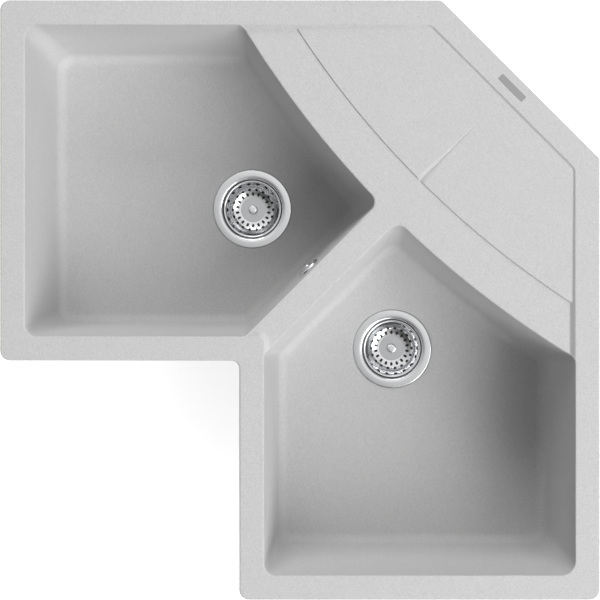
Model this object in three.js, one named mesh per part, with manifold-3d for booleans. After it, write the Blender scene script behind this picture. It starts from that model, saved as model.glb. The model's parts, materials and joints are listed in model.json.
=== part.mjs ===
// Corner kitchen sink: one quartz composite moulding with two bowls, a tap ledge and a corner
// drainer, with its basket strainer wastes, its overflow and its fixing clips.
//
// Millimetres, +Z up. The plan fits a square, and is the same on both sides of the diagonal that
// runs from the inner corner, where the user stands, to the cut-off back corner. Shapes are drawn
// from the centre of that square, with z = 0 at the worktop. The finished sink is moved so that
// its origin lies on the flat seat under the rim, in the middle of the cut-off corner.

import * as THREE from 'three';
import Module from 'manifold-3d';
import { ConvexGeometry } from 'three/addons/geometries/ConvexGeometry.js';
import { mergeVertices } from 'three/addons/utils/BufferGeometryUtils.js';

const wasm = await Module();
wasm.setup();

// ---------------------------------------------------------------- driving dimensions

// Plan of the moulding
const SQUARE = 830; // overall width and depth
const ARM = 499; // each arm of the L, from its front edge to the wall
const CORNER_CUT = 219; // what the back corner loses along each side
const RIM_WIDTH = 34;
const OUTER_RADIUS = 14;
const INNER_CORNER_RADIUS = 11;
const CUT_RADIUS = 9; // where the cut-off corner meets the sides
const DIVIDER_WIDTH = 36.5; // between the bowls, at the rim
const BOWL_CURVE_AT = 173.5; // from the square's centre back to the bowls' curved edge
const BOWL_CURVE_RADIUS = 1360;
const LEDGE_WIDTH = 63.5; // tap ledge, from the bowls to the drainer

// Heights of the moulding
const RIM_HEIGHT = 10; // above the worktop
const RIM_EDGE = 2; // chamfer round the rim's top edge
const DRAINER_DROP = 3.5; // below the rim, beside the ledge
const DRAINER_BACK_DROP = 2; // below the rim, at the cut-off corner
const LEDGE_DROP = 5.5; // below the rim
const STEP_SLOPE = 1.2; // how far a step runs out for each millimetre it drops
const LEDGE_STEP_SLOPE = 0.5; // the same, from the drainer down to the ledge
const LEDGE_CORNER_RADIUS = 6;
const DRAINER_CORNER_RADIUS = 14;
const DIVIDER_END_RADIUS = 9.7;
const WALL = 8;

// Bowls
const BOWL_DEPTH = 195; // from the rim to the foot of the wall
const DRAFT_RUN = 15.5; // how far a wall leans in over that depth
const FLOOR_FILLET = 15;
const FLOOR_FALL = 4; // from the foot of the wall to the waste
const FLOOR_FLAT = 66; // radius of the level part round the waste
const BOWL_LIP = 1.5; // chamfer round a bowl's mouth
const BOWL_CORNER_GROWTH = 6; // corner radius at the floor, less that at the rim
const FRONT_CORNER_RADIUS = 16;
const DIVIDER_CORNER_RADIUS = 12;
const LEDGE_END_RADIUS = 15;
const BACK_CORNER_RADIUS = 15;
const SIDE_CORNER_RADIUS = 20;

// Drain groove in the drainer
const GROOVE_LENGTH = 122;
const GROOVE_WIDTH = 10.9;

// Seat on the worktop, with its sealing tape
const SEAT_WIDTH = 15;
const TAPE_INSET = 3.5; // from the rim's edge
const TAPE_WIDTH = 6;
const TAPE_THICKNESS = 2;
const KNOCKOUT_RADIUS = 17.5; // tap hole, left closed at the top
const KNOCKOUT_DEPTH = 5;

// Badge
const BADGE_LENGTH = 46;
const BADGE_WIDTH = 10;
const BADGE_RADIUS = 1;
const BADGE_THICKNESS = 0.8;
const BADGE_RECESS = 0.5;

// Wastes. Their depths are taken down from the seat, which is the rebate that the flange lies in.
const WASTE_S = 149.2; // from the diagonal out to each waste's axis
const WASTE_T = 43.1; // from the square's centre, along the diagonal
const WASTE_HOLE_RADIUS = 45;
const WASTE_HOLE_CHAMFER = 4.5;
const FLANGE_RADIUS = 59;
const FLANGE_STEEL = 1;
const SEAT_REBATE = 2.2;
const TOP_GASKET = 1; // thickness
const TOP_GASKET_INNER = 51.5;
const TOP_GASKET_OUTER = 56.5;
const DISH_RADIUS = 44.6; // outside of the dish, in the waste hole
const DISH_DEPTH = 36;
const FLANGE_EDGE = 0.6; // how far the flange's edge is rounded in
const FLANGE_EDGE_DROP = 0.4; // and how far down
const FLANGE_FALL = 1.5; // where its top begins to fall into the dish, inside the gasket
const DISH_ROLL = [[2.8, 0.2], [1.2, -1.8], [0, -5]]; // out from the dish's wall, and up
const DISH_FOOT = [[1, 9], [3.1, 3.5], [7.5, 0.5], [12, 0]]; // in from its wall, up from its floor
const DISH_HOLES = 6;
const DISH_HOLE_RADIUS = 3.7;
const DISH_HOLE_CIRCLE = 14;
const UNDER_GASKET = 2.5; // thickness
const UNDER_GASKET_INNER = 47;
const UNDER_GASKET_OUTER = 57.5;
const BODY_FLANGE_RADIUS = 58;
const BODY_FLANGE = 3.7; // thickness
const CUP_RADIUS = 50;
const CUP_WALL = 3.2;
const CUP_DEPTH = 54;
const OUTLET_RADIUS = 23.9; // of a 1 1/2 inch pipe thread
const OUTLET_WALL = 4.4;
const OUTLET_DEPTH = 92;
const CONE_DROP = 6; // from the cup's wall down to the outlet
const BOSS_RADIUS = 9;
const BOSS_DEPTH = 38; // top of the boss that the clamp screw goes into
const BOSS_HEIGHT = 18;
const CUP_RIBS = 3;
const CUP_RIB_THICKNESS = 4;
const CUP_RIB_HEIGHT = 8;
const CLAMP_RADIUS = 4;
const CLAMP_HEAD_RADIUS = 7;
const CLAMP_HEAD_HEIGHT = 3;
const CLAMP_LENGTH = 17; // below its head
const CLAMP_EDGE = [0.8, 0.6]; // how far its head's edge is broken, in and down
const CLAMP_CLEARANCE = 0.4; // round the screw, in the dish's floor

// Strainer basket and its stopper
const BASKET_RADIUS = 43;
const BASKET_STEEL = 0.8;
const BASKET_TOP_DEPTH = 2.5;
const BASKET_DEPTH = 29; // underside of its plain middle disc
const BASKET_RIM = [[0, -0.8], [1.8, -1], [2.6, -4.5]]; // in from its edge, and up from its top
const BASKET_WALL = [[4.2, 14], [7.4, 7], [12.5, 2.7]]; // in from its edge, and up from its floor
const BASKET_DISC_RADIUS = 19;
const BASKET_DISC_BEND = [5.5, 0.7]; // out from the disc, and up to where the wall begins
const BASKET_HOLE_REACH = 6; // the holes are cut up to this far above the floor
const BASKET_SLOTS = 18; // in each of its two rings
const SLOT_CIRCLE = 24.4;
const SLOT_LENGTH = 4.9;
const SLOT_WIDTH = 2.8;
const HOLE_CIRCLE = 31;
const HOLE_RADIUS = 2;
const KNOB_RADIUS = 6.5;
const KNOB_WAIST = 3.7;
const KNOB_HEIGHT = 16;
const KNOB_FOOT = [1.5, 3]; // out from the waist, and up to where the waist begins
const KNOB_NECK = 5; // from the top down to the waist
const KNOB_GRIP = [3, 1.5]; // from the top down to the widest part's foot and top
const KNOB_EDGE = [1.5, 0.3]; // in from the widest part, and down from the top
const KNOB_CROWN = 3; // solid part over the stem
const STEM_RADIUS = 2;
const STEM_REACH = 10; // into the clamp screw
const STOPPER_RADIUS = 20.5;
const STOPPER_LIP = 2.2;
const STOPPER_HOLLOW = 9; // radius of its clearance for the clamp screw's head
const STOPPER_WEB = 1.5; // from its lip's foot up to the underside of its web
const STOPPER_EDGE = 1;
const WASHER_RADIUS = 9;
const WASHER_THICKNESS = 0.8;

// Overflow, in the left bowl's diagonal wall. Its depths are taken back from that wall's face.
const OVERFLOW_T = 39.5; // from the square's centre, along the diagonal
const OVERFLOW_DROP = 58; // below the rim
const OVERFLOW_HOLE = 13; // radius
const ROSETTE_RADIUS = 17.5;
const ROSETTE_RISE = 4.5;
const ROSETTE_THICKNESS = 1.2;
const ROSETTE_SIDE = [0.3, 1.6]; // in from its edge, and up to the top of its side
const ROSETTE_SHOULDER = [2.5, 0.9]; // in from its edge, and down from its face
const ROSETTE_FACE = 7; // from its edge in to its flat face
const ROSETTE_HOLES = 6;
const ROSETTE_HOLE_RADIUS = 2.6;
const ROSETTE_HOLE_CIRCLE = 9.5;
const ROSETTE_SCREW_RADIUS = 2.5;
const ROSETTE_SCREW_HEAD = 4.8; // radius
const ROSETTE_SCREW_HEAD_HEIGHT = 1.6;
const ROSETTE_SCREW_TAPER = 1; // how far in its head's side leans
const OVERFLOW_GASKET = 1.5; // thickness
const OVERFLOW_GASKET_INNER = 14;
const OVERFLOW_BODY_RADIUS = 18.5;
const OVERFLOW_BODY_DEPTH = 22;
const OVERFLOW_BODY_WALL = 2.5;
const OVERFLOW_BOSS_RADIUS = 5.5;
const OVERFLOW_BOSS_HEIGHT = 14;
const HOSE_SETBACK = 24;
const OVERFLOW_SOCKET_DROP = 43; // end of its socket, below the overflow's axis

// Overflow hose, and what holds its ends
const HOSE_RADIUS = 9; // over the ribs
const HOSE_RIB_HEIGHT = 1.6;
const HOSE_BORE = 6; // radius
const RIB_PITCH = 4.2;
const RIBS_PER_BORE_RING = 5;
const HOSE_SIDES = 8;
const SOCKET_WALL = 2.7;
const SOCKET_DEPTH = 12; // how far the hose goes in
const SOCKET_STOP = 52; // from the waste's axis to the end of the hose
const PORT_DEPTH = 45;
const NUT_WALL = 3;
const NUT_LENGTH = 13;
const NUT_LIP = 2.5;
const CAP_END = 2.5; // end wall of the blanking cap
const CAP_EDGE = 1;

// Fixing clips. Their insets are taken in from the rim's edge, and depths down from the worktop.
const WORKTOP = 38; // the thickest worktop that the clips take
const LUG_INSET = 19;
const LUG_LENGTH = 9;
const LUG_WIDTH = 26;
const LUG_DEPTH = 18;
const CLIP_WIDTH = 18;
const CLIP_STEEL = 2;
const CLIP_TONGUE = 5.5;
const CLIP_TONGUE_DEPTH = 11;
const CLIP_ARM_DEPTH = 54;
const CLIP_ARM_INSET = 1;
const CLIP_SCREW_INSET = 8;
const CLIP_SCREW_RADIUS = 3;
const CLIP_PAD_RADIUS = 6;
const CLIP_PAD_THICKNESS = 2;
const CLIP_HEAD_RADIUS = 5;
const CLIP_HEAD_HEIGHT = 4;
const CLIP_HEAD_BELOW = 3; // from the arm down to the screw's head
const SIDE_CLIPS = [250, 20]; // along an arm's end, from the square's centre
const BACK_CLIP = -215; // along the wall
const FRONT_CLIP = -230; // along the front edge

// Fits
const GAP = 0.3; // between neighbours that are cut to fit each other
const OVERCUT = 1; // how far a cutter reaches past the surface that it cuts
const HOLE_OVERCUT = 4; // the same, for the overflow's hole in the leaning wall
const LEAST_RADIUS = 2; // of an outline's corner, however far the outline is set in
const INTO_BOWL = 30; // how far the deck's pockets run on over the bowls, where nothing is left
const PAST_LEDGE = 20; // how far the drainer's pocket runs on over the ledge

// Facets
const CORNER_STEPS = 3; // in each corner of an outline
const FOOT_STEPS = 3; // in the fillet at the foot of a wall
const BADGE_STEPS = 3;
const WASTE_SEGMENTS = 24; // round the flange and its hole
const UNDER_SEGMENTS = 20; // round the plastic parts and seals
const PIN_SEGMENTS = 10; // round the knob, the stem and the screws
const CLIP_SEGMENTS = 8;
const HEXAGON = 6;
const DRAIN_HOLE_SEGMENTS = 6;
const BASKET_HOLE_SEGMENTS = 5;

// ---------------------------------------------------------------- worked out from these

const HALF = SQUARE / 2;
const FRONT = HALF - (SQUARE - ARM); // the front edges lie at minus this
const DIAGONAL = Math.SQRT1_2;
const CORNER_CUT_T = (2 * HALF - CORNER_CUT) * DIAGONAL;
const SEAT_INSET = (TAPE_INSET + TAPE_WIDTH + SEAT_WIDTH) / 2; // middle of the seat's inner band
const ORIGIN_XY = (CORNER_CUT_T - SEAT_INSET) * DIAGONAL;
const LEDGE_BACK_T = BOWL_CURVE_AT + LEDGE_WIDTH;
const LEDGE_TOP = RIM_HEIGHT - LEDGE_DROP;
const DECK_UNDERSIDE = LEDGE_TOP - WALL;
const FLOOR = RIM_HEIGHT - BOWL_DEPTH;
const FLOOR_LOW = FLOOR - FLOOR_FALL;
const BOWL_UNDERSIDE = FLOOR_LOW - WALL;
const WASTE_SEAT = FLOOR_LOW - SEAT_REBATE;
const DRAFT = DRAFT_RUN / BOWL_DEPTH;
const DRAFT_ANGLE = Math.atan(DRAFT);
const DISH_FLOOR = -DISH_DEPTH + FLANGE_STEEL;
const CLAMP_HEAD_TOP = DISH_FLOOR + CLAMP_HEAD_HEIGHT;
const UNDER_SEAT = SEAT_REBATE - WALL; // bowl's underside, from the waste's seat
const BODY_TOP = UNDER_SEAT - UNDER_GASKET;
const SOCKET_BORE = HOSE_RADIUS + GAP;
const SOCKET_RADIUS = SOCKET_BORE + SOCKET_WALL;
const SOCKET_END = SOCKET_STOP + SOCKET_DEPTH; // from the waste's axis

// ---------------------------------------------------------------- solids

// Shared vertices merged, and triangles that closed up to nothing left out.
function weld(geometry) {
  const bare = new THREE.BufferGeometry();
  bare.setAttribute('position', geometry.getAttribute('position').clone());
  if (geometry.index) bare.setIndex(geometry.index.clone());
  const merged = mergeVertices(bare, 1e-4);
  const kept = [];
  for (let i = 0; i < merged.index.count; i += 3) {
    const [a, b, c] = [0, 1, 2].map((k) => merged.index.getX(i + k));
    if (a !== b && b !== c && c !== a) kept.push(a, b, c);
  }
  merged.setIndex(kept);
  return merged;
}

// Six times the volume inside the triangles, negative when they face inwards.
function signedVolume(geometry) {
  const position = geometry.getAttribute('position');
  const [a, b, c] = [new THREE.Vector3(), new THREE.Vector3(), new THREE.Vector3()];
  let sum = 0;
  for (let i = 0; i < geometry.index.count; i += 3) {
    a.fromBufferAttribute(position, geometry.index.getX(i));
    b.fromBufferAttribute(position, geometry.index.getX(i + 1));
    c.fromBufferAttribute(position, geometry.index.getX(i + 2));
    sum += a.dot(b.cross(c));
  }
  return sum;
}

function facingOut(geometry) {
  const welded = weld(geometry);
  if (signedVolume(welded) < 0) welded.setIndex(Array.from(welded.index.array).reverse());
  return welded;
}

function toManifold(geometry) {
  const closed = facingOut(geometry);
  return new wasm.Manifold(new wasm.Mesh({
    numProp: 3,
    vertProperties: Float32Array.from(closed.getAttribute('position').array),
    triVerts: Uint32Array.from(closed.index.array),
  }));
}

function toGeometry(manifold) {
  const { vertProperties, triVerts } = manifold.getMesh();
  const geometry = new THREE.BufferGeometry();
  geometry.setAttribute('position', new THREE.BufferAttribute(vertProperties, 3));
  geometry.setIndex(new THREE.BufferAttribute(triVerts, 1));
  return geometry;
}

function cut(base, tools) {
  const solid = tools.reduce((left, tool) => left.subtract(toManifold(tool)), toManifold(base));
  return toGeometry(solid);
}

function join(pieces) {
  const [first, ...others] = pieces.map(toManifold);
  return toGeometry(others.reduce((sum, piece) => sum.add(piece), first));
}

// A profile of [radius, height] points, closed on itself or on the axis, turned round Z.
function turned(profile, segments) {
  const points = profile.map(([radius, height]) => new THREE.Vector2(radius, height));
  const [first, last] = [points[0], points[points.length - 1]];
  if (first.x > 0 || last.x > 0) points.push(first.clone());
  return facingOut(new THREE.LatheGeometry(points, segments).rotateX(Math.PI / 2));
}

// Sheet metal: the line is its underside, and the other side lies to the line's right.
function sheet(line, thickness) {
  const points = line.map(([x, y]) => new THREE.Vector2(x, y));
  const away = points.map((p, i) => {
    const before = points[Math.max(i - 1, 0)];
    const after = points[Math.min(i + 1, points.length - 1)];
    const run = after.clone().sub(before).normalize();
    return [p.x + run.y * thickness, p.y - run.x * thickness];
  });
  return [...line, ...away.reverse()];
}

function tube(inner, outer, bottom, top, segments) {
  return turned([[inner, bottom], [outer, bottom], [outer, top], [inner, top]], segments);
}

function rod(radius, bottom, top, segments) {
  return turned([[0, bottom], [radius, bottom], [radius, top], [0, top]], segments);
}

function block(low, high) {
  const size = high.map((value, k) => value - low[k]);
  const middle = high.map((value, k) => (value + low[k]) / 2);
  return new THREE.BoxGeometry(...size).translate(...middle);
}

// Copies of a shape, spread evenly round the Z axis.
function roundTheAxis(count, shape, from = 0) {
  return Array.from({ length: count }, (_, k) => shape.clone()
    .rotateZ(from + (2 * Math.PI * k) / count));
}

// Loops of as many points each, anticlockwise from above and in rising order, skinned and closed
// at both ends.
function loft(loops) {
  const count = loops[0].length;
  const position = loops.flatMap((loop) => loop.flatMap((p) => [p.x, p.y, p.z]));
  const index = [];
  for (let k = 0; k + 1 < loops.length; k += 1) {
    for (let i = 0; i < count; i += 1) {
      const j = (i + 1) % count;
      const [low, high] = [k * count, (k + 1) * count];
      index.push(low + i, low + j, high + j, low + i, high + j, high + i);
    }
  }
  const flat = (loop) => loop.map((p) => new THREE.Vector2(p.x, p.y));
  const top = (loops.length - 1) * count;
  THREE.ShapeUtils.triangulateShape(flat(loops[0]), [])
    .forEach(([a, b, c]) => index.push(a, c, b));
  THREE.ShapeUtils.triangulateShape(flat(loops[loops.length - 1]), [])
    .forEach(([a, b, c]) => index.push(top + a, top + b, top + c));
  const geometry = new THREE.BufferGeometry();
  geometry.setAttribute('position', new THREE.Float32BufferAttribute(position, 3));
  geometry.setIndex(index);
  return geometry;
}

// ---------------------------------------------------------------- outlines

// An outline is a list of sides, anticlockwise. A side's edge tells how deep a point lies inside
// it. The side's corner is the radius where it meets the next side, negative where the outline
// turns back on itself.

function straight(x, y, offset) {
  const normal = new THREE.Vector2(x, y).normalize();
  return {
    depth: (p) => normal.dot(p) - offset,
    inward: () => normal,
  };
}

// A round edge of an outline that lies outside the circle, or inside it where side is -1.
function curved(radius, side) {
  const middle = (BOWL_CURVE_AT + BOWL_CURVE_RADIUS) * DIAGONAL;
  const centre = new THREE.Vector2(middle, middle);
  return {
    depth: (p) => side * (p.distanceTo(centre) - radius),
    inward: (p) => p.clone().sub(centre).setLength(side),
  };
}

// A point moved straight in or out, to lie at a depth inside an edge.
function movedTo(edge, p, depth) {
  return p.clone().addScaledVector(edge.inward(p), depth - edge.depth(p));
}

// The point that lies depthA inside edge a and depthB inside edge b, by Newton's method.
function meeting(a, b, depthA, depthB) {
  const p = new THREE.Vector2();
  for (let step = 0; step < 12; step += 1) {
    const [missA, missB] = [a.depth(p) - depthA, b.depth(p) - depthB];
    const [towardsA, towardsB] = [a.inward(p), b.inward(p)];
    const scale = towardsA.cross(towardsB);
    p.x -= (missA * towardsB.y - missB * towardsA.y) / scale;
    p.y -= (missB * towardsA.x - missA * towardsB.x) / scale;
  }
  return p;
}

// Points from one to another round a centre, the short way, with both ends.
function arcPoints(from, to, centre, steps) {
  const [start, end] = [from.clone().sub(centre), to.clone().sub(centre)];
  const sweep = Math.atan2(start.cross(end), start.dot(end));
  const origin = new THREE.Vector2();
  return Array.from({ length: steps + 1 }, (_, k) => start.clone()
    .rotateAround(origin, (sweep * k) / steps).add(centre));
}

// depthOf says how far inside each side's edge the points run, and radiusOf each corner's radius.
function outlinePoints(sides, depthOf, radiusOf) {
  const after = (list, i) => list[(i + 1) % list.length];
  const corners = sides.map((side, i) => {
    const next = after(sides, i);
    const reach = Math.sign(side.corner) * radiusOf(side);
    const [a, b] = [depthOf(side), depthOf(next)];
    const centre = meeting(side.edge, next.edge, a + reach, b + reach);
    return arcPoints(
      movedTo(side.edge, centre, a), movedTo(next.edge, centre, b), centre, CORNER_STEPS);
  });
  return corners.flatMap((corner, i) => {
    const next = after(sides, i);
    const [from, to] = [corner[CORNER_STEPS], after(corners, i)[0]];
    const steps = next.steps ?? 1;
    const between = Array.from({ length: steps - 1 }, (_, k) => movedTo(
      next.edge, from.clone().lerp(to, (k + 1) / steps), depthOf(next)));
    return [...corner, ...between];
  });
}

const raised = (points, z) => points.map((p) => new THREE.Vector3(p.x, p.y, z));
const sameRadius = ({ corner }) => Math.abs(corner);

// bowl is 1 for the left bowl and -1 for the right one. s runs out from the diagonal towards that
// bowl, and t along the diagonal towards the back corner.
function fromDiagonal(s, t, z, bowl) {
  return new THREE.Vector3((t - bowl * s) * DIAGONAL, (t + bowl * s) * DIAGONAL, z);
}

// Loops drawn for the left bowl, or swapped over the diagonal for the right one.
function forBowl(loops, bowl) {
  if (bowl > 0) return loops;
  return loops.map((loop) => loop.map((p) => new THREE.Vector3(p.y, p.x, p.z)).reverse());
}

const LEFT = straight(1, 0, -HALF);
const BACK = straight(0, -1, -HALF);
const RIGHT = straight(-1, 0, -HALF);
const NEAR = straight(0, 1, -HALF);
const FRONT_LEFT = straight(0, 1, -FRONT);
const FRONT_RIGHT = straight(1, 0, -FRONT);
const CUT_CORNER = straight(-1, -1, -CORNER_CUT_T);

const OUTLINE = [
  { edge: LEFT, corner: OUTER_RADIUS },
  { edge: FRONT_LEFT, corner: -INNER_CORNER_RADIUS },
  { edge: FRONT_RIGHT, corner: OUTER_RADIUS },
  { edge: NEAR, corner: OUTER_RADIUS },
  { edge: RIGHT, corner: CUT_RADIUS },
  { edge: CUT_CORNER, corner: CUT_RADIUS },
  { edge: BACK, corner: OUTER_RADIUS },
];

// The moulding's outline, set in by the same inset all round.
function bodyOutline(inset, z) {
  const radiusOf = ({ corner }) => (corner > 0
    ? Math.max(corner - inset, LEAST_RADIUS) : inset - corner);
  return raised(outlinePoints(OUTLINE, () => inset, radiusOf), z);
}

// ---------------------------------------------------------------- bowls

// Sides of the left bowl: rim is what an edge is set in by at the rim, and mouth is the height of
// the surface that the bowl opens into there.
const BOWL = [
  { edge: LEFT, rim: RIM_WIDTH, mouth: RIM_HEIGHT, corner: FRONT_CORNER_RADIUS, steps: 2 },
  { edge: FRONT_LEFT, rim: RIM_WIDTH, mouth: RIM_HEIGHT, corner: DIVIDER_CORNER_RADIUS, steps: 2 },
  {
    edge: straight(-1, 1, DIVIDER_WIDTH / 2),
    rim: 0,
    mouth: LEDGE_TOP,
    corner: LEDGE_END_RADIUS,
    steps: 2,
  },
  {
    edge: curved(BOWL_CURVE_RADIUS, 1),
    rim: 0,
    mouth: LEDGE_TOP,
    corner: BACK_CORNER_RADIUS,
    steps: 5,
  },
  { edge: BACK, rim: RIM_WIDTH, mouth: RIM_HEIGHT, corner: SIDE_CORNER_RADIUS, steps: 2 },
];

const leanAt = (z) => DRAFT * (RIM_HEIGHT - z);
const cornerGrowthAt = (z) => BOWL_CORNER_GROWTH * Math.min(1, (RIM_HEIGHT - z) / BOWL_DEPTH);

// One loop of the bowl's wall, moved outwards by grow. lip widens it towards its mouth.
function bowlLoop(z, grow, lip = () => 0) {
  const depthOf = (side) => side.rim + leanAt(z) - grow - lip(side, z);
  const radiusOf = ({ corner }) => Math.max(corner + cornerGrowthAt(z) + grow, LEAST_RADIUS);
  return raised(outlinePoints(BOWL, depthOf, radiusOf), z);
}

// The fillet at the foot of a wall, from the floor up.
function bowlFoot(floor, radius, grow) {
  return Array.from({ length: FOOT_STEPS + 1 }, (_, k) => {
    const angle = (Math.PI / 2) * (k / FOOT_STEPS);
    const z = floor + radius * (1 - Math.cos(angle));
    return bowlLoop(z, grow - radius * (1 - Math.sin(angle)));
  });
}

// The space inside a bowl. Its floor falls to the level ring round the waste.
function bowlSpace(bowl) {
  const waste = fromDiagonal(WASTE_S, WASTE_T, FLOOR_LOW, 1);
  const foot = bowlFoot(FLOOR, FLOOR_FILLET, 0);
  const level = foot[0].map((p) => {
    const out = new THREE.Vector3(p.x - waste.x, p.y - waste.y, 0).setLength(FLOOR_FLAT);
    return out.add(waste);
  });
  const lip = (side, z) => Math.min(Math.max(0, z - side.mouth + BOWL_LIP), BOWL_LIP + OVERCUT);
  const heights = [
    LEDGE_TOP - BOWL_LIP, LEDGE_TOP + OVERCUT, RIM_HEIGHT - BOWL_LIP, RIM_HEIGHT + OVERCUT];
  return loft(forBowl([level, ...foot, ...heights.map((z) => bowlLoop(z, 0, lip))], bowl));
}

// The outside of a bowl, up into the deck.
function bowlShell(bowl) {
  const foot = bowlFoot(BOWL_UNDERSIDE, FLOOR_FILLET + WALL, WALL);
  return loft(forBowl([...foot, bowlLoop(DECK_UNDERSIDE + OVERCUT, WALL)], bowl));
}

function wasteHole(bowl) {
  const [rebate, hole] = [FLANGE_RADIUS + GAP, WASTE_HOLE_RADIUS];
  const profile = [
    [0, BOWL_UNDERSIDE - OVERCUT],
    [hole, BOWL_UNDERSIDE - OVERCUT],
    [hole, WASTE_SEAT - WASTE_HOLE_CHAMFER],
    [hole + WASTE_HOLE_CHAMFER, WASTE_SEAT],
    [rebate, WASTE_SEAT],
    [rebate, FLOOR + OVERCUT],
    [0, FLOOR + OVERCUT],
  ];
  const { x, y } = fromDiagonal(WASTE_S, WASTE_T, 0, bowl);
  return turned(profile, WASTE_SEGMENTS).translate(x, y, 0);
}

// ---------------------------------------------------------------- deck

function drainerDropAt(t) {
  const share = (t - LEDGE_BACK_T) / (CORNER_CUT_T - RIM_WIDTH - LEDGE_BACK_T);
  return DRAINER_DROP + (DRAINER_BACK_DROP - DRAINER_DROP) * share;
}

const alongDiagonal = (p) => (p.x + p.y) * DIAGONAL;

// A pocket sunk into the rim, with steps that run out as they drop. Its floor may slope.
function pocket(sides, dropAt) {
  const top = outlinePoints(sides, (side) => side.rim - OVERCUT * side.run, sameRadius);
  const foot = outlinePoints(sides, (side) => side.rim + side.drop * side.run, sameRadius);
  const floor = foot.map((p) => new THREE.Vector3(p.x, p.y, RIM_HEIGHT - dropAt(alongDiagonal(p))));
  return loft([floor, raised(top, RIM_HEIGHT + OVERCUT)]);
}

function drainerPocket() {
  const sideDrop = (DRAINER_DROP + DRAINER_BACK_DROP) / 2;
  const overLedge = curved(BOWL_CURVE_RADIUS - LEDGE_WIDTH + PAST_LEDGE, -1);
  return pocket([
    { edge: RIGHT, rim: RIM_WIDTH, drop: sideDrop, run: STEP_SLOPE, corner: DRAINER_CORNER_RADIUS },
    {
      edge: CUT_CORNER,
      rim: RIM_WIDTH,
      drop: DRAINER_BACK_DROP,
      run: STEP_SLOPE,
      corner: DRAINER_CORNER_RADIUS,
    },
    { edge: BACK, rim: RIM_WIDTH, drop: sideDrop, run: STEP_SLOPE, corner: LEAST_RADIUS },
    { edge: overLedge, rim: 0, drop: 0, run: 0, corner: LEAST_RADIUS, steps: 6 },
  ], drainerDropAt);
}

function ledgePocket() {
  const ledgeBack = curved(BOWL_CURVE_RADIUS - LEDGE_WIDTH, 1);
  const overBowls = curved(BOWL_CURVE_RADIUS + INTO_BOWL, -1);
  const step = { drop: LEDGE_DROP, run: STEP_SLOPE, rim: RIM_WIDTH };
  return pocket([
    { edge: RIGHT, ...step, corner: LEDGE_CORNER_RADIUS },
    {
      edge: ledgeBack,
      rim: 0,
      drop: LEDGE_DROP,
      run: LEDGE_STEP_SLOPE,
      corner: LEDGE_CORNER_RADIUS,
      steps: 8,
    },
    { edge: BACK, ...step, corner: LEAST_RADIUS },
    { edge: overBowls, rim: 0, drop: 0, run: 0, corner: LEAST_RADIUS, steps: 8 },
  ], () => LEDGE_DROP);
}

// The divider lies level with the ledge, and ends at the rim round the inner corner.
function dividerPocket() {
  const over = -(DIVIDER_WIDTH / 2 + INTO_BOWL);
  const plain = { rim: 0, drop: 0, run: 0, corner: LEAST_RADIUS };
  const step = { drop: LEDGE_DROP, run: STEP_SLOPE, rim: RIM_WIDTH };
  return pocket([
    { edge: straight(1, -1, over), ...plain },
    { edge: FRONT_LEFT, ...step, corner: -DIVIDER_END_RADIUS },
    { edge: FRONT_RIGHT, ...step, corner: LEAST_RADIUS },
    { edge: straight(-1, 1, over), ...plain },
    { edge: straight(-1, -1, -(BOWL_CURVE_AT + LEDGE_WIDTH / 2)), ...plain },
  ], () => LEDGE_DROP);
}

// A V that is level with the ledge at its mouth and runs out in the drainer.
function drainGroove() {
  const mouthDepth = LEDGE_DROP - DRAINER_DROP;
  const spread = GROOVE_WIDTH / 2 / mouthDepth;
  const surfaceAt = (t) => RIM_HEIGHT - drainerDropAt(t);
  const section = (t, depth) => [
    fromDiagonal(0, t, surfaceAt(t) - depth, 1),
    fromDiagonal((depth + OVERCUT) * spread, t, surfaceAt(t) + OVERCUT, 1),
    fromDiagonal(-(depth + OVERCUT) * spread, t, surfaceAt(t) + OVERCUT, 1),
  ];
  return new ConvexGeometry([
    ...section(LEDGE_BACK_T - OVERCUT, mouthDepth),
    ...section(LEDGE_BACK_T + GROOVE_LENGTH, 0),
  ]);
}

// ---------------------------------------------------------------- rim

function deckSlab() {
  return loft([
    bodyOutline(SEAT_WIDTH + 1, DECK_UNDERSIDE),
    bodyOutline(SEAT_WIDTH, 0),
    bodyOutline(RIM_EDGE / 2, 0),
    bodyOutline(0, RIM_EDGE / 2),
    bodyOutline(0, RIM_HEIGHT - RIM_EDGE),
    bodyOutline(RIM_EDGE, RIM_HEIGHT),
  ]);
}

// A band that follows the rim underneath, between two insets.
function rimBand(from, to, bottom, top) {
  const outside = loft([bodyOutline(from, bottom), bodyOutline(from, top)]);
  const inside = loft([
    bodyOutline(to, bottom - OVERCUT), bodyOutline(to, top + OVERCUT)]);
  return cut(outside, [inside]);
}

function badgeShape(grow, bottom, top) {
  const [x, y, r] = [BADGE_LENGTH / 2 + grow, BADGE_WIDTH / 2 + grow, BADGE_RADIUS + grow];
  const shape = new THREE.Shape();
  shape.absarc(x - r, y - r, r, 0, Math.PI / 2);
  shape.absarc(r - x, y - r, r, Math.PI / 2, Math.PI);
  shape.absarc(r - x, r - y, r, Math.PI, 1.5 * Math.PI);
  shape.absarc(x - r, r - y, r, 1.5 * Math.PI, 2 * Math.PI);
  const plate = new THREE.ExtrudeGeometry(shape, {
    depth: top - bottom, bevelEnabled: false, curveSegments: BADGE_STEPS,
  });
  const place = fromDiagonal(0, CORNER_CUT_T - RIM_WIDTH / 2, bottom, 1);
  return plate.rotateZ(-Math.PI / 4).translate(place.x, place.y, place.z);
}

// ---------------------------------------------------------------- clips

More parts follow.
